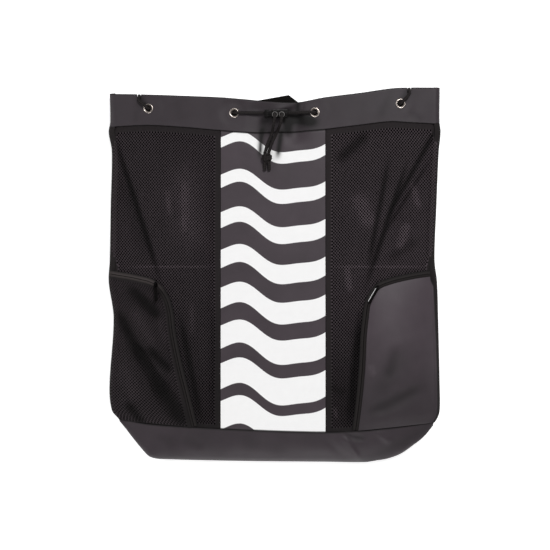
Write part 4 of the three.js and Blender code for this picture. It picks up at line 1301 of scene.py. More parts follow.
def tail_route(side):
    """Loose tail out of its hole, over the lock on to the cloth and beside the other one to the knot."""

    def sideways(share):
        apart = mix(LOCK_SPACING, TAILS_APART, rise(share, 0, 0.5))
        return mix(LOCK_X + HOLES_OFF, KNOT_X, share) + side * apart / 2

    share, over_y, over_z = TAIL_DROP.T
    lie_share, lie_y, stand = np.array(TAIL_LIE).T
    lie_x = sideways(lie_share)
    return np.vstack([
        hole_at(side) + hole_axis * np.array([[CORD_IN_HOLE], [3], [6]]),
        vec(sideways(share), lock_middle[1] + over_y, lock_middle[2] + over_z),
        vec(lie_x, lie_y, frame_front(lie_x, lie_y) + CORD_LIE + stand),
    ])


def cord_path(route, spacing):
    """Evenly spaced points on the smooth line through a route."""
    line = smooth_line(route)
    return line_at(line, np.linspace(0, 1, int(line[1][-1] / spacing) + 1))


def eased(path, times):
    """Path with its bends evened out: each time, inner points go half way to their neighbours' middle."""
    for _ in range(times):
        path = np.vstack([path[:1], (path[:-2] + 2 * path[1:-1] + path[2:]) / 4, path[-1:]])
    return path


def cord_piece(name, paths, node):
    """Braided cord along one or more paths."""
    strands = [tube(path, CORD_RADIUS, CORD_SIDES, braid) for path in paths]
    shape = joined([strand for strand, _ in strands])
    return piece(name, shape, cording, "cord", node, uv=np.vstack([uv for _, uv in strands]))


def knot_strand(side):
    """One strand of the knot: in at the top, a turn and more round the other strand, out at the low end."""
    z = float(frame_front(KNOT_X, KNOT_Y)) + KNOT_HIGH + CORD_CLEAR
    t = np.linspace(0, 1, 90)
    wrap = rise(t, *KNOT_WRAP)
    swing = rise(t, *KNOT_SWING[:2]) * (1 - rise(t, *KNOT_SWING[2:]))
    angle = np.pi / 2 * side + 2 * np.pi * KNOT_TURNS * wrap + 0.5
    y = KNOT_Y + np.interp(t, [0, *KNOT_WRAP, 1], [KNOT_LONG - 0.4, 5.6, -5.0, -KNOT_END])
    x = KNOT_X + side * mix(3, 3.6, t) * (1 - swing) + (KNOT_WIDE - CORD / 2) * swing * np.cos(angle)
    start_z = float(frame_front(KNOT_X, KNOT_Y + KNOT_LONG)) + CORD_LIE
    end_z = float(frame_front(KNOT_X, KNOT_Y - KNOT_END)) + CORD_LIE
    level = np.interp(t, [0, 0.25, 0.7, 1], [start_z, z - 0.4, z - 1.2, end_z])
    return vec(x, y, level + (KNOT_HIGH - CORD / 2) * swing * np.sin(angle))


def cords():
    """Drawcord, the two loose tails and their knot."""
    cord_piece("drawcord_braid", [cord_path(drawcord_route(), CORD_STEP)], "drawcord")
    knot = cord_piece("tails_knot", [knot_strand(side) for side in (-1, 1)], "tail_knot")
    for side, name in ((-1, "tail_left"), (1, "tail_right")):
        path = eased(cord_path(tail_route(side), TAIL_STEP), TAIL_EASE)
        tail = cord_piece(f"{name}_braid", [path], name)


def eyelets():
    """Each eyelet: two rolled edges, funnels and a short bore, one closed profile turned round."""
    angle = np.linspace(0, np.pi, 9)
    middle, half = mix(EYELET_ROLL, EYELET_FLANGE, 0.5), (EYELET_FLANGE - EYELET_ROLL) / 2
    roll = np.stack([middle + half * np.cos(angle), EYELET_FACE + EYELET_PLATE * np.sin(angle)], -1)
    funnel = [(mix(EYELET_ROLL, EYELET_BORE, 0.6), EYELET_FACE - 0.3), (EYELET_BORE, EYELET_FACE - 0.8)]
    upper = np.vstack([roll, funnel])
    lower = (upper * [1, -1])[::-1]
    barrel = [(EYELET_BARREL, -EYELET_FACE), (EYELET_BARREL, EYELET_FACE)]
    shape = turned(np.vstack([upper, lower, barrel]), 48, closed_ends=False)
    names = [f"grommet_front_{k}" for k in (1, 2, 3, 4)] + ["grommet_back_1", "grommet_back_2"]
    for name, (place, out) in zip(names, [*front_spots, *back_spots]):
        piece(f"{name}_ring", laid(shape, out, place), nickel, "grommet_metal", name)


def bored(thing, drills):
    """Cuts closed shapes out of an object and keeps the cut mesh."""
    cutters = []
    for points, faces in drills:
        cutter = bpy.data.objects.new("cutter", make_mesh("cutter", points, faces))
        scene.collection.objects.link(cutter)
        cut = thing.modifiers.new("bore", "BOOLEAN")
        cut.object = cutter
        cut.solver = "EXACT"
        cutters.append(cutter)
    evaluated = thing.evaluated_get(bpy.context.evaluated_depsgraph_get())
    mesh = bpy.data.meshes.new_from_object(evaluated)
    thing.modifiers.clear()
    thing.data = mesh
    for cutter in cutters:
        bpy.data.objects.remove(cutter)
    mesh.shade_smooth()
    mesh.set_sharp_from_angle(angle=math.radians(40))


def lock():
    """Barrel with two slanted cord holes, a ring standing proud round each, light grey as a painted
    highlight, and the sprung plunger.
    """
    half = LOCK_LENGTH / 2
    along_x = (1, 0, 0)
    barrel = turned([
        (TURNED_TIP, half - LOCK_END), (LOCK_BORE, half - LOCK_END), (LOCK_BORE, -half + 0.3),
        (LOCK_BORE + 0.3, -half), (LOCK_RADIUS - 0.8, -half), (LOCK_RADIUS - 0.2, -half + 0.25),
        (LOCK_RADIUS, -half + 0.9), (LOCK_RADIUS, -half + 2.6), (LOCK_WAIST, -half + 3),
        (LOCK_WAIST, half - 4), (LOCK_RADIUS, half - 3.6), (LOCK_RADIUS, half - 1.6),
        (LOCK_RADIUS - 0.4, half - 0.8), (LOCK_RADIUS - 1.2, half - 0.25), (LOCK_RADIUS - 2.4, half),
        (TURNED_TIP, half),
    ], 56)
    body = piece("lock_barrel", laid(barrel, along_x, lock_middle), plastic, "lock_plastic", "lock_body")
    bore = turned([(LOCK_HOLE, -LOCK_RADIUS * 1.5), (LOCK_HOLE, LOCK_RADIUS * 1.5)], 32)
    bored(body, [laid(bore, hole_axis, hole_at(side)) for side in (-1, 1)])
    angle = np.linspace(0, 2 * np.pi, 10, endpoint=False)
    ring = np.stack([LOCK_HOLE + 0.55 + LOCK_RING * np.cos(angle), LOCK_RING * np.sin(angle)], -1)
    collar = turned(ring, 36, closed_ends=False)
    out = hole_axis * LOCK_WAIST
    shape = joined([laid(collar, hole_axis, hole_at(side) + out) for side in (-1, 1)])
    piece("lock_hole_rings", shape, ring_highlight_plastic, "lock_plastic")
    plunger(along_x)


def plunger(along_x):
    """Slide with one long slot for both cords, and a fluted button on its end."""
    cord_side = LOCK_SPACING / 2 + PLUNGER_SLOT / 2
    slot_from = HOLES_OFF - cord_side - PLUNGER_TRAVEL
    slot_to = HOLES_OFF + cord_side
    face = -LOCK_LENGTH / 2 - PLUNGER_TRAVEL - 0.3
    end = face - BUTTON_LENGTH
    points, faces = turned([
        (TURNED_TIP, end - 0.2), (BUTTON_RADIUS - 2, end - 0.15), (BUTTON_RADIUS - 0.7, end + 0.25),
        (BUTTON_RADIUS, end + 1), (BUTTON_RADIUS, face - 0.6), (BUTTON_RADIUS - 0.6, face),
        (PLUNGER_RADIUS, face), (PLUNGER_RADIUS, slot_to + 1.5), (TURNED_TIP, slot_to + 1.5),
    ], BUTTON_FLUTES * 6)
    radius = np.hypot(points[:, 0], points[:, 1])
    angle = np.arctan2(points[:, 1], points[:, 0])
    on_button = rise(radius, PLUNGER_RADIUS, BUTTON_RADIUS)
    flute = 1 - FLUTE_DEPTH * on_button * (1 + np.cos(BUTTON_FLUTES * angle))
    shape = laid((points * vec(flute, flute, 1), faces), along_x, lock_middle)
    slide = piece("lock_button", shape, plastic, "lock_plastic", "lock_plunger", body="plunger")
    across = np.cross(hole_axis, along_x) * PLUNGER_SLOT / 2
    through = hole_axis * PLUNGER_RADIUS * 1.5
    level = np.array([[slot_from, 0, 0], [slot_to, 0, 0], [slot_to, 0, 0], [slot_from, 0, 0]])
    sides = np.array([[-1], [-1], [1], [1]]) * across
    rings = np.stack([lock_middle + level + sides - through, lock_middle + level + sides + through])
    bored(slide, [rounds(rings)])


cords()
eyelets()
lock()


# Cloth panels of the front


def between(sides, u, v):
    """X and Y inside four sides: the blends of both pairs of facing sides less the blend of the corners."""
    left, right, low, high = sides
    zero, one = np.zeros(1), np.ones(1)
    share_u, share_v = u[..., None], v[..., None]
    corner = mix(mix(low(zero), low(one), share_u), mix(high(zero), high(one), share_u), share_v)
    place = mix(low(u), high(u), share_v) + mix(left(v), right(v), share_u) - corner
    return np.moveaxis(place, -1, 0)


def meeting(line, across):
    """Where a line up the bag meets a line across it, by five rounds of one through the other."""
    y = across(0.0)
    for _ in range(5):
        y = across(line(y))
    return float(y)


def side_up(line, low, high):
    """Side of a panel on a line up the bag, from one height to another."""
    return lambda v: np.stack([line(mix(low, high, v)) + 0 * v, mix(low, high, v)], -1)


def side_across(left, right, line, end):
    """Side of a panel on a line across the bag, from one end of its left side to that of its right one."""
    start, stop = left(np.array([end]))[0, 0], right(np.array([end]))[0, 0]
    return lambda u: np.stack([mix(start, stop, u), line(mix(start, stop, u))], -1)


def upright_sides(left_line, right_line, low_line, high_line):
    """Sides of a panel between two lines up the bag and two lines across it."""

    def upright(line):
        return side_up(line, meeting(line, low_line), meeting(line, high_line))

    left, right = upright(left_line), upright(right_line)
    return left, right, side_across(left, right, low_line, 0.0), side_across(left, right, high_line, 1.0)


def fold_light(height):
    """Share of light on a net: half where it lies flat, and less by e for each step deeper in a fold."""
    return np.clip(0.5 * np.exp(height / FOLD_SHADE), 0.02, 1)


def side_turn(y):
    """Share of the net's turn round the side of the bag: none beside a pocket and none under the rim."""
    return rise(y, *NET_TURN_FROM) * (1 - rise(y, *NET_TURN_TO))


def side_reach(y):
    """How far the net goes out past the side seam."""
    return NET_SIDE_TUCK + NET_TURN * side_turn(y)


def side_hem(y):
    """Width of the net's hem at the side of the bag."""
    return mix(NET_SIDE_HEM, NET_TURN_HEM, side_turn(y))


def strip_hem(y):
    """Width of the net's hem at the strip, with what lies under it, the same at any height."""
    return NET_HEM + TUCK


def net_panel(name, node, left_line, right_line, hems, covered, painted_light_shift):
    """Net panel with plain hems, tucked under its neighbours and turned round the side of the bag."""
    sides = upright_sides(
        left_line, right_line, lambda x: base_seam(x) - TUCK, lambda x: rim_bottom(x) + NET_RIM_TUCK,
    )
    wide, high = NET_PANEL

    def surface(u, v):
        x, y = between(sides, u, v)
        side = np.minimum(np.minimum(u, 1 - u) * wide, v * high)
        free = (1 - v) * high - NET_RIM_TUCK
        tucked = NET_EDGE_DROP * (1 - rise(side, 0, NET_EDGE_EASE))
        drop = tucked + NET_UNDER_RIM * (1 - rise(free, 0, NET_RIM_EASE))
        loose = ripple(x + 90, y, *NET_RIPPLE) + NET_FORM * fold_rise(NET_FOLDS, x, y)
        flat = front(x, y) + loose * rise(free, 0, NET_LOOSE_EASE) - NET_SINK
        inward = np.minimum(x - left_edge(y), right_edge(y) - x)
        over = side_turn(y) * (1 - rise(inward, SIDE_TURN, SIDE_TURN + NET_EDGE_EASE))
        laid_over = np.maximum(flat, seam_height(y) + NET_OVER) - side_drop(x, y)
        return vec(x, y, mix(flat - drop, laid_over, over))

    def holes(u, v):
        x, y = between(sides, u, v)
        open_across = (u * wide > hems[0](y)) & ((1 - u) * wide > hems[1](y))
        open_up = (v * high > NET_HEM * 0.6 + TUCK) & ((1 - v) * high > NET_HEM + NET_RIM_TUCK)
        return open_across & open_up & ~covered(x, y)

    shape, u, v = net(surface, NET_PANEL, holes)
    x, y = between(sides, u, v)
    # Painted light and shade in the yarn's colour: a level for each panel, lighter on ridges, darker in
    # folds and towards the bottom, and darkest where the pocket covers the net
    light = fold_light(painted_light_shift + fold_rise(NET_FOLDS, x, y) - NET_LOW_SHADE * (1 - rise(y, *NET_LOW)))
    uv = np.stack([~holes(u, v), np.where(covered(x, y), 0, light)], -1)
    piece(name, shape, netting, "mesh_cloth", node, uv=uv)


zip_lines = {"mesh": smooth_line(ZIP_MESH), "coated": smooth_line(ZIP_COATED)}


def zip_at(name, share, off):
    """Place on a zip's line, moved square to it, to the right of the way it runs."""
    x, y = np.moveaxis(line_at(zip_lines[name], share), -1, 0)
    way_x, way_y = np.moveaxis(line_way(zip_lines[name], share), -1, 0)
    return np.stack([x + off * way_y, y - off * way_x], -1)


def beyond_zip(name, sign):
    """Test for places on the pocket's side of a zip."""
    fine = zip_lines[name][0]
    order = np.argsort(fine[:, 1])

    def covered(x, y):
        at = np.interp(y, fine[order, 1], fine[order, 0])
        return (sign * (x - at) > 0) & (y < fine[:, 1].max() - ZIP_COVER)

    return covered


def coated_panel(name, node, sides, across, up, finish, edge_form, edge_shade_line, keep=None):
    """Panel of coated cloth just proud of the net beside it, with a map of the painted shade along its edge
    and in its dents.
    """
    u, v = np.meshgrid(across, np.linspace(0, 1, up + 1))
    x, y = between(sides, u, v)
    z = front(x, y) + COATED_PROUD + edge_form(x, y)
    cells = None
    if keep is not None:
        cells = keep((x[:-1, :-1] + x[1:, 1:]) / 2, (y[:-1, :-1] + y[1:, 1:]) / 2)
    # Painted shade: the deeper a dent, the darker the cloth's colour, almost to the shade colour
    dark = np.clip(-fold_rise(DENTS, x, y) / DENT_SHADE_DEPTH, 0, 0.97)
    uv = both_faces(edge_shade_line(x, y), dark)
    piece(name, wall(vec(x, y, z), CLOTH, cells), finish, "coated_cloth", node, uv=uv)


def strip_panel():
    """Strip up the middle of the front, tucked under the rim and the base."""
    sides = upright_sides(
        lambda y: STRIP_LEFT, lambda y: STRIP_RIGHT,
        lambda x: base_seam(x) - TUCK, lambda x: rim_bottom(x) + TUCK,
    )

    def under_neighbours(x, y):
        into = np.minimum(y - base_seam(x), rim_bottom(x) - y)
        return -STRIP_DROP * (1 - rise(into, -TUCK, STRIP_EASE))

    # Painted shade along the seams under the rim and the base
    def painted_seam_shade(x, y):
        return 1 - rise(np.minimum(y - base_seam(x), rim_bottom(x) - y), *STRIP_SHADE_LINE)

    across = np.linspace(0, 1, STRIP_GRID[0] + 1)
    coated_panel(
        "strip_cloth", "strip", sides, across, STRIP_GRID[1], coated_print, under_neighbours, painted_seam_shade,
    )


def rim_panel():
    """Front rim: rolled over along its top edge, turned down round both sides, cut under each eyelet."""
    lines = (lambda y: left_edge(y) + RIM_WRAP_LEFT, lambda y: right_edge(y) - RIM_WRAP_RIGHT)
    left, right = (
        side_up(line, float(rim_bottom(end)), float(rim_top(end))) for line, end in zip(lines, RIM_ENDS)
    )

    def turned_edges(x, y):
        near = np.clip(1 - (rim_top(x) - y) / RIM_ROLL, 0, 1)
        return -RIM_ROLL_DROP * (1 - np.sqrt(1 - near**2)) - side_drop(x, y)

    def clear_of_eyelets(x, y):
        near = [np.hypot(x - ex, y - ey) for ex, ey in FRONT_EYELETS]
        return np.min(near, axis=0) > EYELET_CUT

    # Painted shade along the rolled top edge and along the lower seam
    def painted_edge_shade(x, y):
        return 1 - rise(np.minimum(rim_top(x) - y, y - rim_bottom(x) + RIM_SHADE_LINE_LOW), *RIM_SHADE_LINE)

    top = side_across(left, right, rim_top, 1.0)
    sides = (left, right, side_across(left, right, rim_bottom, 0.0), top)
    start, stop = top(np.array([0.0, 1.0]))[:, 0]
    beside = np.array([1.2, 2.3, 2.7, 3.1, 3.6])
    notch = np.add.outer(CORD_OVER, [*-beside, 0, *beside]).ravel()
    even = np.linspace(0, 1, RIM_GRID[0] + 1)
    across = np.unique(np.concatenate([even, (notch - start) / (stop - start)]))
    coated_panel(
        "rim_front_cloth", "rim_front", sides, across, RIM_GRID[1], coated,
        turned_edges, painted_edge_shade, clear_of_eyelets,
    )


def pocket_sides(name, corner, sign):
    """Sides of a pocket between its zip, the side seam and the base: left, right, low and high."""

    def zip_top(u):
        share = mix(0, corner, u) if sign > 0 else mix(corner, 0, u)
        return zip_at(name, share, sign * POCKET_OFF)

    def zip_side(v):
        return zip_at(name, mix(1, corner, v), sign * POCKET_OFF)

    outer = np.zeros(1) if sign > 0 else np.ones(1)
    top_corner = zip_top(outer)[0]
    seam = left_seam if sign > 0 else right_seam
    low_y = float(base_seam(seam(POCKET_LOW))) + SEAM_GAP

    def seam_side(v):
        y = mix(low_y, top_corner[1], v)
        left_x, right_x = left_edge(y) + POCKET_WRAP_LEFT, right_edge(y) - np.interp(y, *POCKET_WRAP_RIGHT)
        x = left_x if sign > 0 else right_x
        return np.stack([mix(x, top_corner[0], rise(v, POCKET_TOP, 1)), y], -1)

    left, right = (seam_side, zip_side) if sign > 0 else (zip_side, seam_side)
    low_left, low_right = left(np.zeros(1))[0], right(np.zeros(1))[0]

    def low(u):
        return mix(low_left, low_right, u[..., None])

    return left, right, low, zip_top


def pocket_height(x, y, u, v, stand):
    """Stand of a pocket off the panel: most in its middle, with folds, and its edges on the zip's tape."""
    off = np.sin(np.pi * np.clip(u, 0, 1)) ** 0.7 * np.sin(np.pi * np.clip(v, 0, 1) ** 0.8) ** 0.9
    inner = rise(np.minimum(np.minimum(u, 1 - u), np.minimum(v, 1 - v)), 0, POCKET_EDGE)
    folds = fold_rise(POCKET_FOLDS + POCKET_CREASES, x, y) + ripple(x, y + 40, *POCKET_RIPPLE)
    edge = front(x, y) - side_drop(x, y) + POCKET_STAND
    return edge + np.maximum(stand * off + inner * folds, 0)


def mesh_pocket():
    """Pocket of net with a plain hem."""
    sides = pocket_sides("mesh", CORNER_MESH, 1)
    wide, high = NET_POCKET

    def surface(u, v):
        x, y = between(sides, u, v)
        return vec(x, y, pocket_height(x, y, u, v, POCKET_MESH_RISE))

    def holes(u, v):
        free = (u * wide > 2) & (v * high > 2)
        return free & ((1 - u) * wide > NET_HEM * 0.6) & ((1 - v) * high > NET_HEM * 0.5)

    shape, u, v = net(surface, NET_POCKET, holes)
    # Painted shade in the pocket's creases, with the whole pocket a little darker, and painted light on its
    # ridges
    light = fold_light(fold_rise(POCKET_CREASES, *between(sides, u, v)) - NET_POCKET_SHADE)
    uv = np.stack([~holes(u, v), light], -1)
    piece("pocket_net", shape, pocket_netting, "mesh_cloth", "pocket_mesh", uv=uv)


def coated_pocket():
    """Pocket of coated cloth."""
    u, v = grid(*POCKET_GRID)
    x, y = between(pocket_sides("coated", CORNER_COATED, -1), u, v)
    outer = vec(x, y, pocket_height(x, y, u, v, POCKET_COATED_RISE))
    # Painted shade along the edge beside the zip, towards the bottom of the pocket and in the creases'
    # hollows
    line = 1 - rise((1 - u) * NET_POCKET[0], *POCKET_SHADE_LINE)
    shaded = 0.5 * (1 - rise(y, *POCKET_SHADE)) - fold_rise(POCKET_CREASES, x, y) / POCKET_SHADE_DEPTH
    uv = both_faces(line, np.clip(shaded, 0, POCKET_DARKEST))
    piece("pocket_coated_cloth", wall(outer, CLOTH), coated_pouch, "coated_cloth", "pocket_coated", uv=uv)


net_panel(
    "net_left", "mesh_left", lambda y: left_seam(y) - side_reach(y), lambda y: STRIP_LEFT + TUCK,
    (side_hem, strip_hem), beyond_zip("mesh", -1), -0.2,
)
net_panel(
    "net_right", "mesh_right", lambda y: STRIP_RIGHT - TUCK, lambda y: right_seam(y) + side_reach(y),
    (strip_hem, side_hem), beyond_zip("coated", 1), 0.6,
)
strip_panel()
rim_panel()
mesh_pocket()
coated_pocket()


# Back, base and webbing


def back_grid(low, high, cells):
    """Outer face of the back between two lines, turned round both sides by half an ellipse to the front."""
    v = np.linspace(0, 1, cells[1] + 1)[:, None]
    angle = np.pi * (0.5 - np.linspace(0, 1, TURN_CELLS + 1))[None, :]

    def turn(edge, sign):
        start, stop = meeting(edge, low), meeting(edge, high)
        y = mix(start, stop, v)
        floor = back_height(edge(y), y)
        half = (seam_height(y) - floor) / 2
        x = edge(y) - sign * SIDE_TURN * (1 - np.cos(angle))
        return vec(x, y + 0 * angle, floor + half * (1 + np.sin(angle)))

    right, left = turn(right_edge, 1), turn(left_edge, -1)[:, ::-1]
    share = np.linspace(0, 1, cells[0] + 1)[None, 1:-1]
    x = mix(right[:, -1:, 0], left[:, :1, 0], share)
    y = mix(low(x), high(x), v)
    return np.concatenate([right, vec(x, y, back_height(x, y)), left], axis=1)


def back_panel():
    """Back, with a map that is 1 on its inner face, which is painted as shade inside the bag."""
    outer = back_grid(lambda x: base_seam(x) - 1, lambda x: rim_bottom(x) + 2, BACK_GRID)
    inside = np.repeat([0.0, 1.0], outer.shape[0] * outer.shape[1])
    uv = np.stack([inside, inside], -1)
    piece("back_panel", wall(outer, CLOTH), back_cloth, "black_cloth", "back", uv=uv)


def rim_back_panel():
    """Back rim: a little lower than the front one, but for the corners, where both meet."""

    def top(x):
        return rim_top(x) - BACK_RIM_DROP * (1 - rise(np.abs(x), *BACK_RIM_CORNER))

    outer = back_grid(rim_bottom, top, RIM_BACK_GRID)
    middle = (outer[:-1, :-1] + outer[1:, 1:]) / 2
    near = [np.hypot(middle[..., 0] - ex, middle[..., 1] - ey) for ex, ey in BACK_EYELETS]
    keep = (np.min(near, axis=0) > EYELET_CUT) | (middle[..., 2] > RIM_LIFT + 3)
    piece("rim_back_cloth", wall(outer, CLOTH, keep), coated, "coated_cloth", "rim_back")


def base_panel():
    """Base: flat under the bag, folded along the bottom edge, and a quadratic curve up to the front seam.

    Its ends are closed by one more column on each side that lies flat on the seam.
    """
    x = np.linspace(BASE[0, 0] + 1, BASE[-1, 0] - 1, BASE_CELLS + 1)[None, :]
    seam, bottom = base_seam(x), base_bottom(x)
    top = front(x, seam) + COATED_PROUD
    fold_y = np.minimum(BASE_FOLD, (seam - bottom) * 0.5)
    fold_z = np.minimum(BASE_FOLD, top * 0.5)
    s = np.linspace(0, 1, 12)[:, None]
    flat = vec(x + 0 * s, mix(seam, bottom + fold_y, s), 0 * s * x)
    bend = np.linspace(0, np.pi / 2, 8)[1:-1, None]
    corner = vec(x + 0 * bend, bottom + fold_y * (1 - np.sin(bend)), fold_z * (1 - np.cos(bend)))
    t = np.linspace(0, 1, 34)[:, None]
    y = (1 - t) ** 2 * bottom + 2 * (1 - t) * t * bottom + t**2 * seam
    z = (1 - t) ** 2 * fold_z + 2 * (1 - t) * t * top + t**2 * top
    z = z + rise(t, 0.1, 0.35) * (fold_rise(BASE_CREASES, x, y) + ripple(x, y, *BASE_RIPPLE))
    outer = np.concatenate([flat, corner, vec(x + 0 * t, y, z)], axis=0)
    x, seam = np.pad(x, ((0, 0), (1, 1)), "edge"), np.pad(seam, ((0, 0), (1, 1)), "edge")
    outer = np.pad(outer, ((0, 0), (1, 1), (0, 0)), "edge")
    outer[:, [0, -1], 1] = seam[:, [0, -1]]
    outer[:, [0, -1], 0] += [-BASE_END, BASE_END]
    y = outer[..., 1]
    on_top = np.arange(len(outer))[:, None] >= len(outer) - len(t)
    # Painted shade along the seam at the top of the base
    line = on_top * (1 - rise(seam - y, *BASE_SHADE_LINE))
    # Darker in slow waves, and painted shade in the creases' hollows
    tone = BASE_TONE * ripple(x, y, 1, BASE_TONE_LENGTH) - fold_rise(BASE_CREASES, x, y) / BASE_SHADE_DEPTH
    uv = both_faces(line, np.clip(on_top * tone, 0, BASE_DARKEST))
    piece("base_cloth", wall(outer, CLOTH), coated_base, "coated_cloth", "base", uv=uv)


def web(edge, other_edge, height):
    """Flat webbing between two lines of places, with ribs along it as half sine waves."""
    share = np.linspace(0, 1, WEB_CELLS + 1)[None, :, None]
    place = mix(edge[:, None], other_edge[:, None], share)
    ribs = RIB_DEPTH * np.abs(np.sin(np.pi * WEB_RIBS * share[..., 0]))
    return vec(place[..., 0], place[..., 1], height - ribs)


def web_uv(outer):
    """Share across a band and metres along it, for both faces."""
    columns = outer.shape[1]
    return both_faces(*np.meshgrid(np.linspace(0, 1, columns), walk(outer[:, columns // 2]) * MM))


def haul_loop():
    """Haul loop, folded flat at its corners under the back rim."""
    knots = np.arange(len(HAUL_OUTER))
    at = np.linspace(0, knots[-1], HAUL_CELLS + 1)

    def bent(corners):
        return np.stack([np.interp(at, knots, column) for column in corners.T], -1)

    outer = web(bent(HAUL_OUTER), bent(HAUL_INNER), RIM_LIFT - SEAM_GAP)
    piece("haul_webbing", wall(outer, WEB_THICK), webbing, "black_cloth", "haul_loop", uv=web_uv(outer))


def straps():
    """Shoulder straps under the back."""
    x, y = strap_line(np.linspace(1, 0, STRAP_CELLS + 1))
    for side, node in ((-1, "strap_left"), (1, "strap_right")):
        edges = [np.stack([side * x + off, y], -1) for off in (-STRAP_WIDTH / 2, STRAP_WIDTH / 2)]
        outer = web(*edges, STRAP_THICK)
        shape = wall(outer, STRAP_THICK - 0.15)
        piece(f"{node}_webbing", shape, webbing, "black_cloth", node, uv=web_uv(outer))


back_panel()
rim_back_panel()
base_panel()
haul_loop()
straps()


# Zips


def on_zip(place, up):
    """Places on a zip's tape with their height, up from the tape's foot."""
    x, y = np.moveaxis(place, -1, 0)
    return vec(x, y, front(x, y) - side_drop(x, y) + ZIP_LIFT + up)


def zip_tape(name, node):
    """Tape with a lip on each side of the slit, and the coil's teeth down in the slit."""
    off, up = np.vstack([ZIP_SECTION, [(0, ZIP_SLIT)], (ZIP_SECTION * [-1, 1])[::-1]]).T
    length = zip_lines[name][1][-1]
    share = np.linspace(0, 1, int(length / ZIP_STEP))[:, None] + 0 * off
    outer = on_zip(zip_at(name, share, off), up)
    piece(f"{node}_tape", wall(outer, ZIP_TAPE), tapes[name], "zip_tape", node, uv=web_uv(outer))
    count = int(length / TOOTH_PITCH)
    at = (np.arange(count) + 0.5) / count
    middle = zip_at(name, at, TOOTH_OFF * (np.arange(count) % 2 * 2 - 1))
    way_x, way_y = line_way(zip_lines[name], at).T
    axes = np.stack([vec(way_y, -way_x, 0), vec(way_x, way_y, 0), vec(0 * way_x, 0, 1)], 1)
    angle = np.arange(6) * np.pi / 3
    ends, thin = TOOTH.T[..., None]
    tooth = rounds(vec(ends + 0 * angle, thin * np.cos(angle), thin * np.sin(angle)))
    piece(f"{node}_teeth", repeated(tooth, on_zip(middle, TOOTH_UP), axes), plastic, "zip_tape")


def slider_frame(slider):
    """Frame of a slider: along its pull, across it and out of the cloth, and its foot."""
    x, y, to_x, to_y, _ = slider
    slope_x, slope_y = slopes(frame_front, x, y)
    out = unit(np.array([-slope_x, -slope_y, 1.0]))
    across = unit(np.cross(out, heading((x, y), (to_x, to_y))))
    foot = np.array([x, y, float(frame_front(x, y))]) + out * SLIDER_FOOT
    return np.stack([np.cross(across, out), across, out]), foot


def slab(outline, profile):
    """Closed plate: its outline drawn in by an inset at each height of a profile."""
    middle = outline.mean(axis=0)
    far = np.linalg.norm(outline - middle, axis=1, keepdims=True)
    rings = [vec(*(middle + (outline - middle) * (1 - inset / far)).T, z) for inset, z in profile]
    return rounds(np.stack(rings))


def slider_pieces(slider, name, body, rail_metal, rail_slot):
    """Slider with its bridge, and the pull tab whose cross bar turns inside the bridge."""
    axes, foot = slider_frame(slider)
    half, wide = SLIDER_LENGTH / 2, SLIDER_WIDTH / 2
    angle = np.arange(28) * 2 * np.pi / 28
    swell = (np.abs(np.cos(angle)) ** 3 + np.abs(np.sin(angle)) ** 3) ** (-1 / 3)
    outline = np.stack([(half + 0.2) * swell * np.cos(angle) - 0.8, wide * swell * np.sin(angle)], -1)
    outline[:, 1] *= mix(0.72, 1.0, rise(outline[:, 0], -half - 1, half - 1.6))
    plate = slab(outline, [(0.35, 0), (0, 0.35), (0, SLIDER_HEIGHT - 0.5), (0.5, SLIDER_HEIGHT)])
    span, top = BRIDGE_SPAN / 2 + BRIDGE_WALL / 2, BRIDGE_GAP + BRIDGE_WALL / 2
    leg = np.array([(span - BRIDGE_ROUND, top), (span, top - BRIDGE_ROUND), (span, BRIDGE_FOOT)])
    line = smooth_line(np.vstack([(leg * [-1, 1])[::-1], leg]), 8)[0]
    way = unit(np.gradient(line, axis=0))
    square = np.stack([-way[:, 1], way[:, 0]], -1) * BRIDGE_WALL / 2
    ring = []
    for across, depth in ((-1, -1), (1, -1), (1, 1), (-1, 1)):
        edge = line + square * depth
        ring.append(vec(edge[:, 0], across * BRIDGE_WIDTH / 2, edge[:, 1] + SLIDER_HEIGHT))
    bridge = rounds(np.stack(ring, axis=1)[:, ::-1])
    points, faces = joined([plate, bridge])
    shape = points @ axes + foot, faces
    metal = piece(f"slider_{name}_body", shape, black_metal, "slider_metal", f"slider_{name}")
    soften(metal, 0.15)
    pull_tab(slider, axes, foot, name, body, rail_metal, rail_slot)


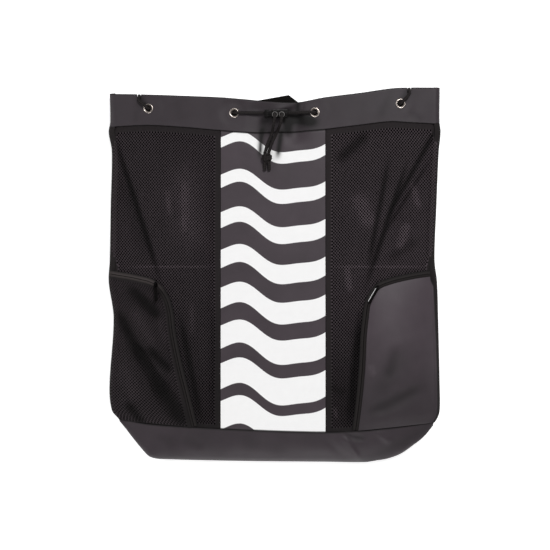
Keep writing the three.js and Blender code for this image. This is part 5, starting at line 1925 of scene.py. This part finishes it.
def soften(thing, width):
    """Rounds a hard piece's edges with a narrow bevel."""
    bevel = thing.modifiers.new("soften", "BEVEL")
    bevel.width = width * MM
    bevel.segments = 2
    bevel.limit_method = "ANGLE"


def pull_tab(slider, axes, foot, name, body, rail_metal, rail_slot):
    """Pull tab: a plate with a window round the bridge and a round far end, and a bar along one edge."""
    x, y, to_x, to_y, dip = slider
    length = math.hypot(to_x - x, to_y - y)
    wide, bar = PULL_WIDTH / 2, PULL_THICK / 2
    round_from, window_to = length - wide, bar + PULL_WINDOW
    straight = np.linspace(window_to + 1.5, round_from, 10)
    tip = round_from + wide * np.sin(np.linspace(0, np.pi / 2, 9)[1:]) - 0.001
    forward = np.array([-bar, bar, window_to, *straight, *tip])
    reach = np.sqrt(wide**2 - np.maximum(forward - round_from, 0) ** 2)
    window = BRIDGE_WIDTH / 2 + PULL_CLEAR
    share = np.array([-1, -window / wide, window / wide, 1])
    outer = vec(forward[:, None], reach[:, None] * share, bar)
    keep = np.ones((len(forward) - 1, 3), bool)
    keep[1, 1] = False
    plate = wall(np.swapaxes(outer, 0, 1), PULL_THICK, keep.T)
    tilt = math.radians(dip)
    turn = np.array([[math.cos(tilt), 0, -math.sin(tilt)], [0, 1, 0], [math.sin(tilt), 0, math.cos(tilt)]])
    hinge = np.array([0, 0, SLIDER_HEIGHT + BRIDGE_GAP / 2])

    def placed(shape):
        return (shape[0] @ turn + hinge) @ axes + foot, shape[1]

    tab = piece(f"pull_{name}_tab", placed(plate), black_metal, "slider_metal", f"pull_{name}", body=body)
    soften(tab, 0.3)
    run = np.linspace(0.6, length - 1.6, 16)
    rail, _ = tube(vec(run, -RAIL_OFF, bar), RAIL_RADIUS, 14)
    piece(f"pull_{name}_rail", placed(rail), rail_metal, rail_slot, body=body)


zip_tape("mesh", "zip_mesh")
zip_tape("coated", "zip_coated")
slider_pieces(SLIDER_MESH, "mesh", "mesh_pull", black_metal, "slider_metal")
slider_pieces(SLIDER_COATED, "coated", "coated_pull", steel, "pull_metal")
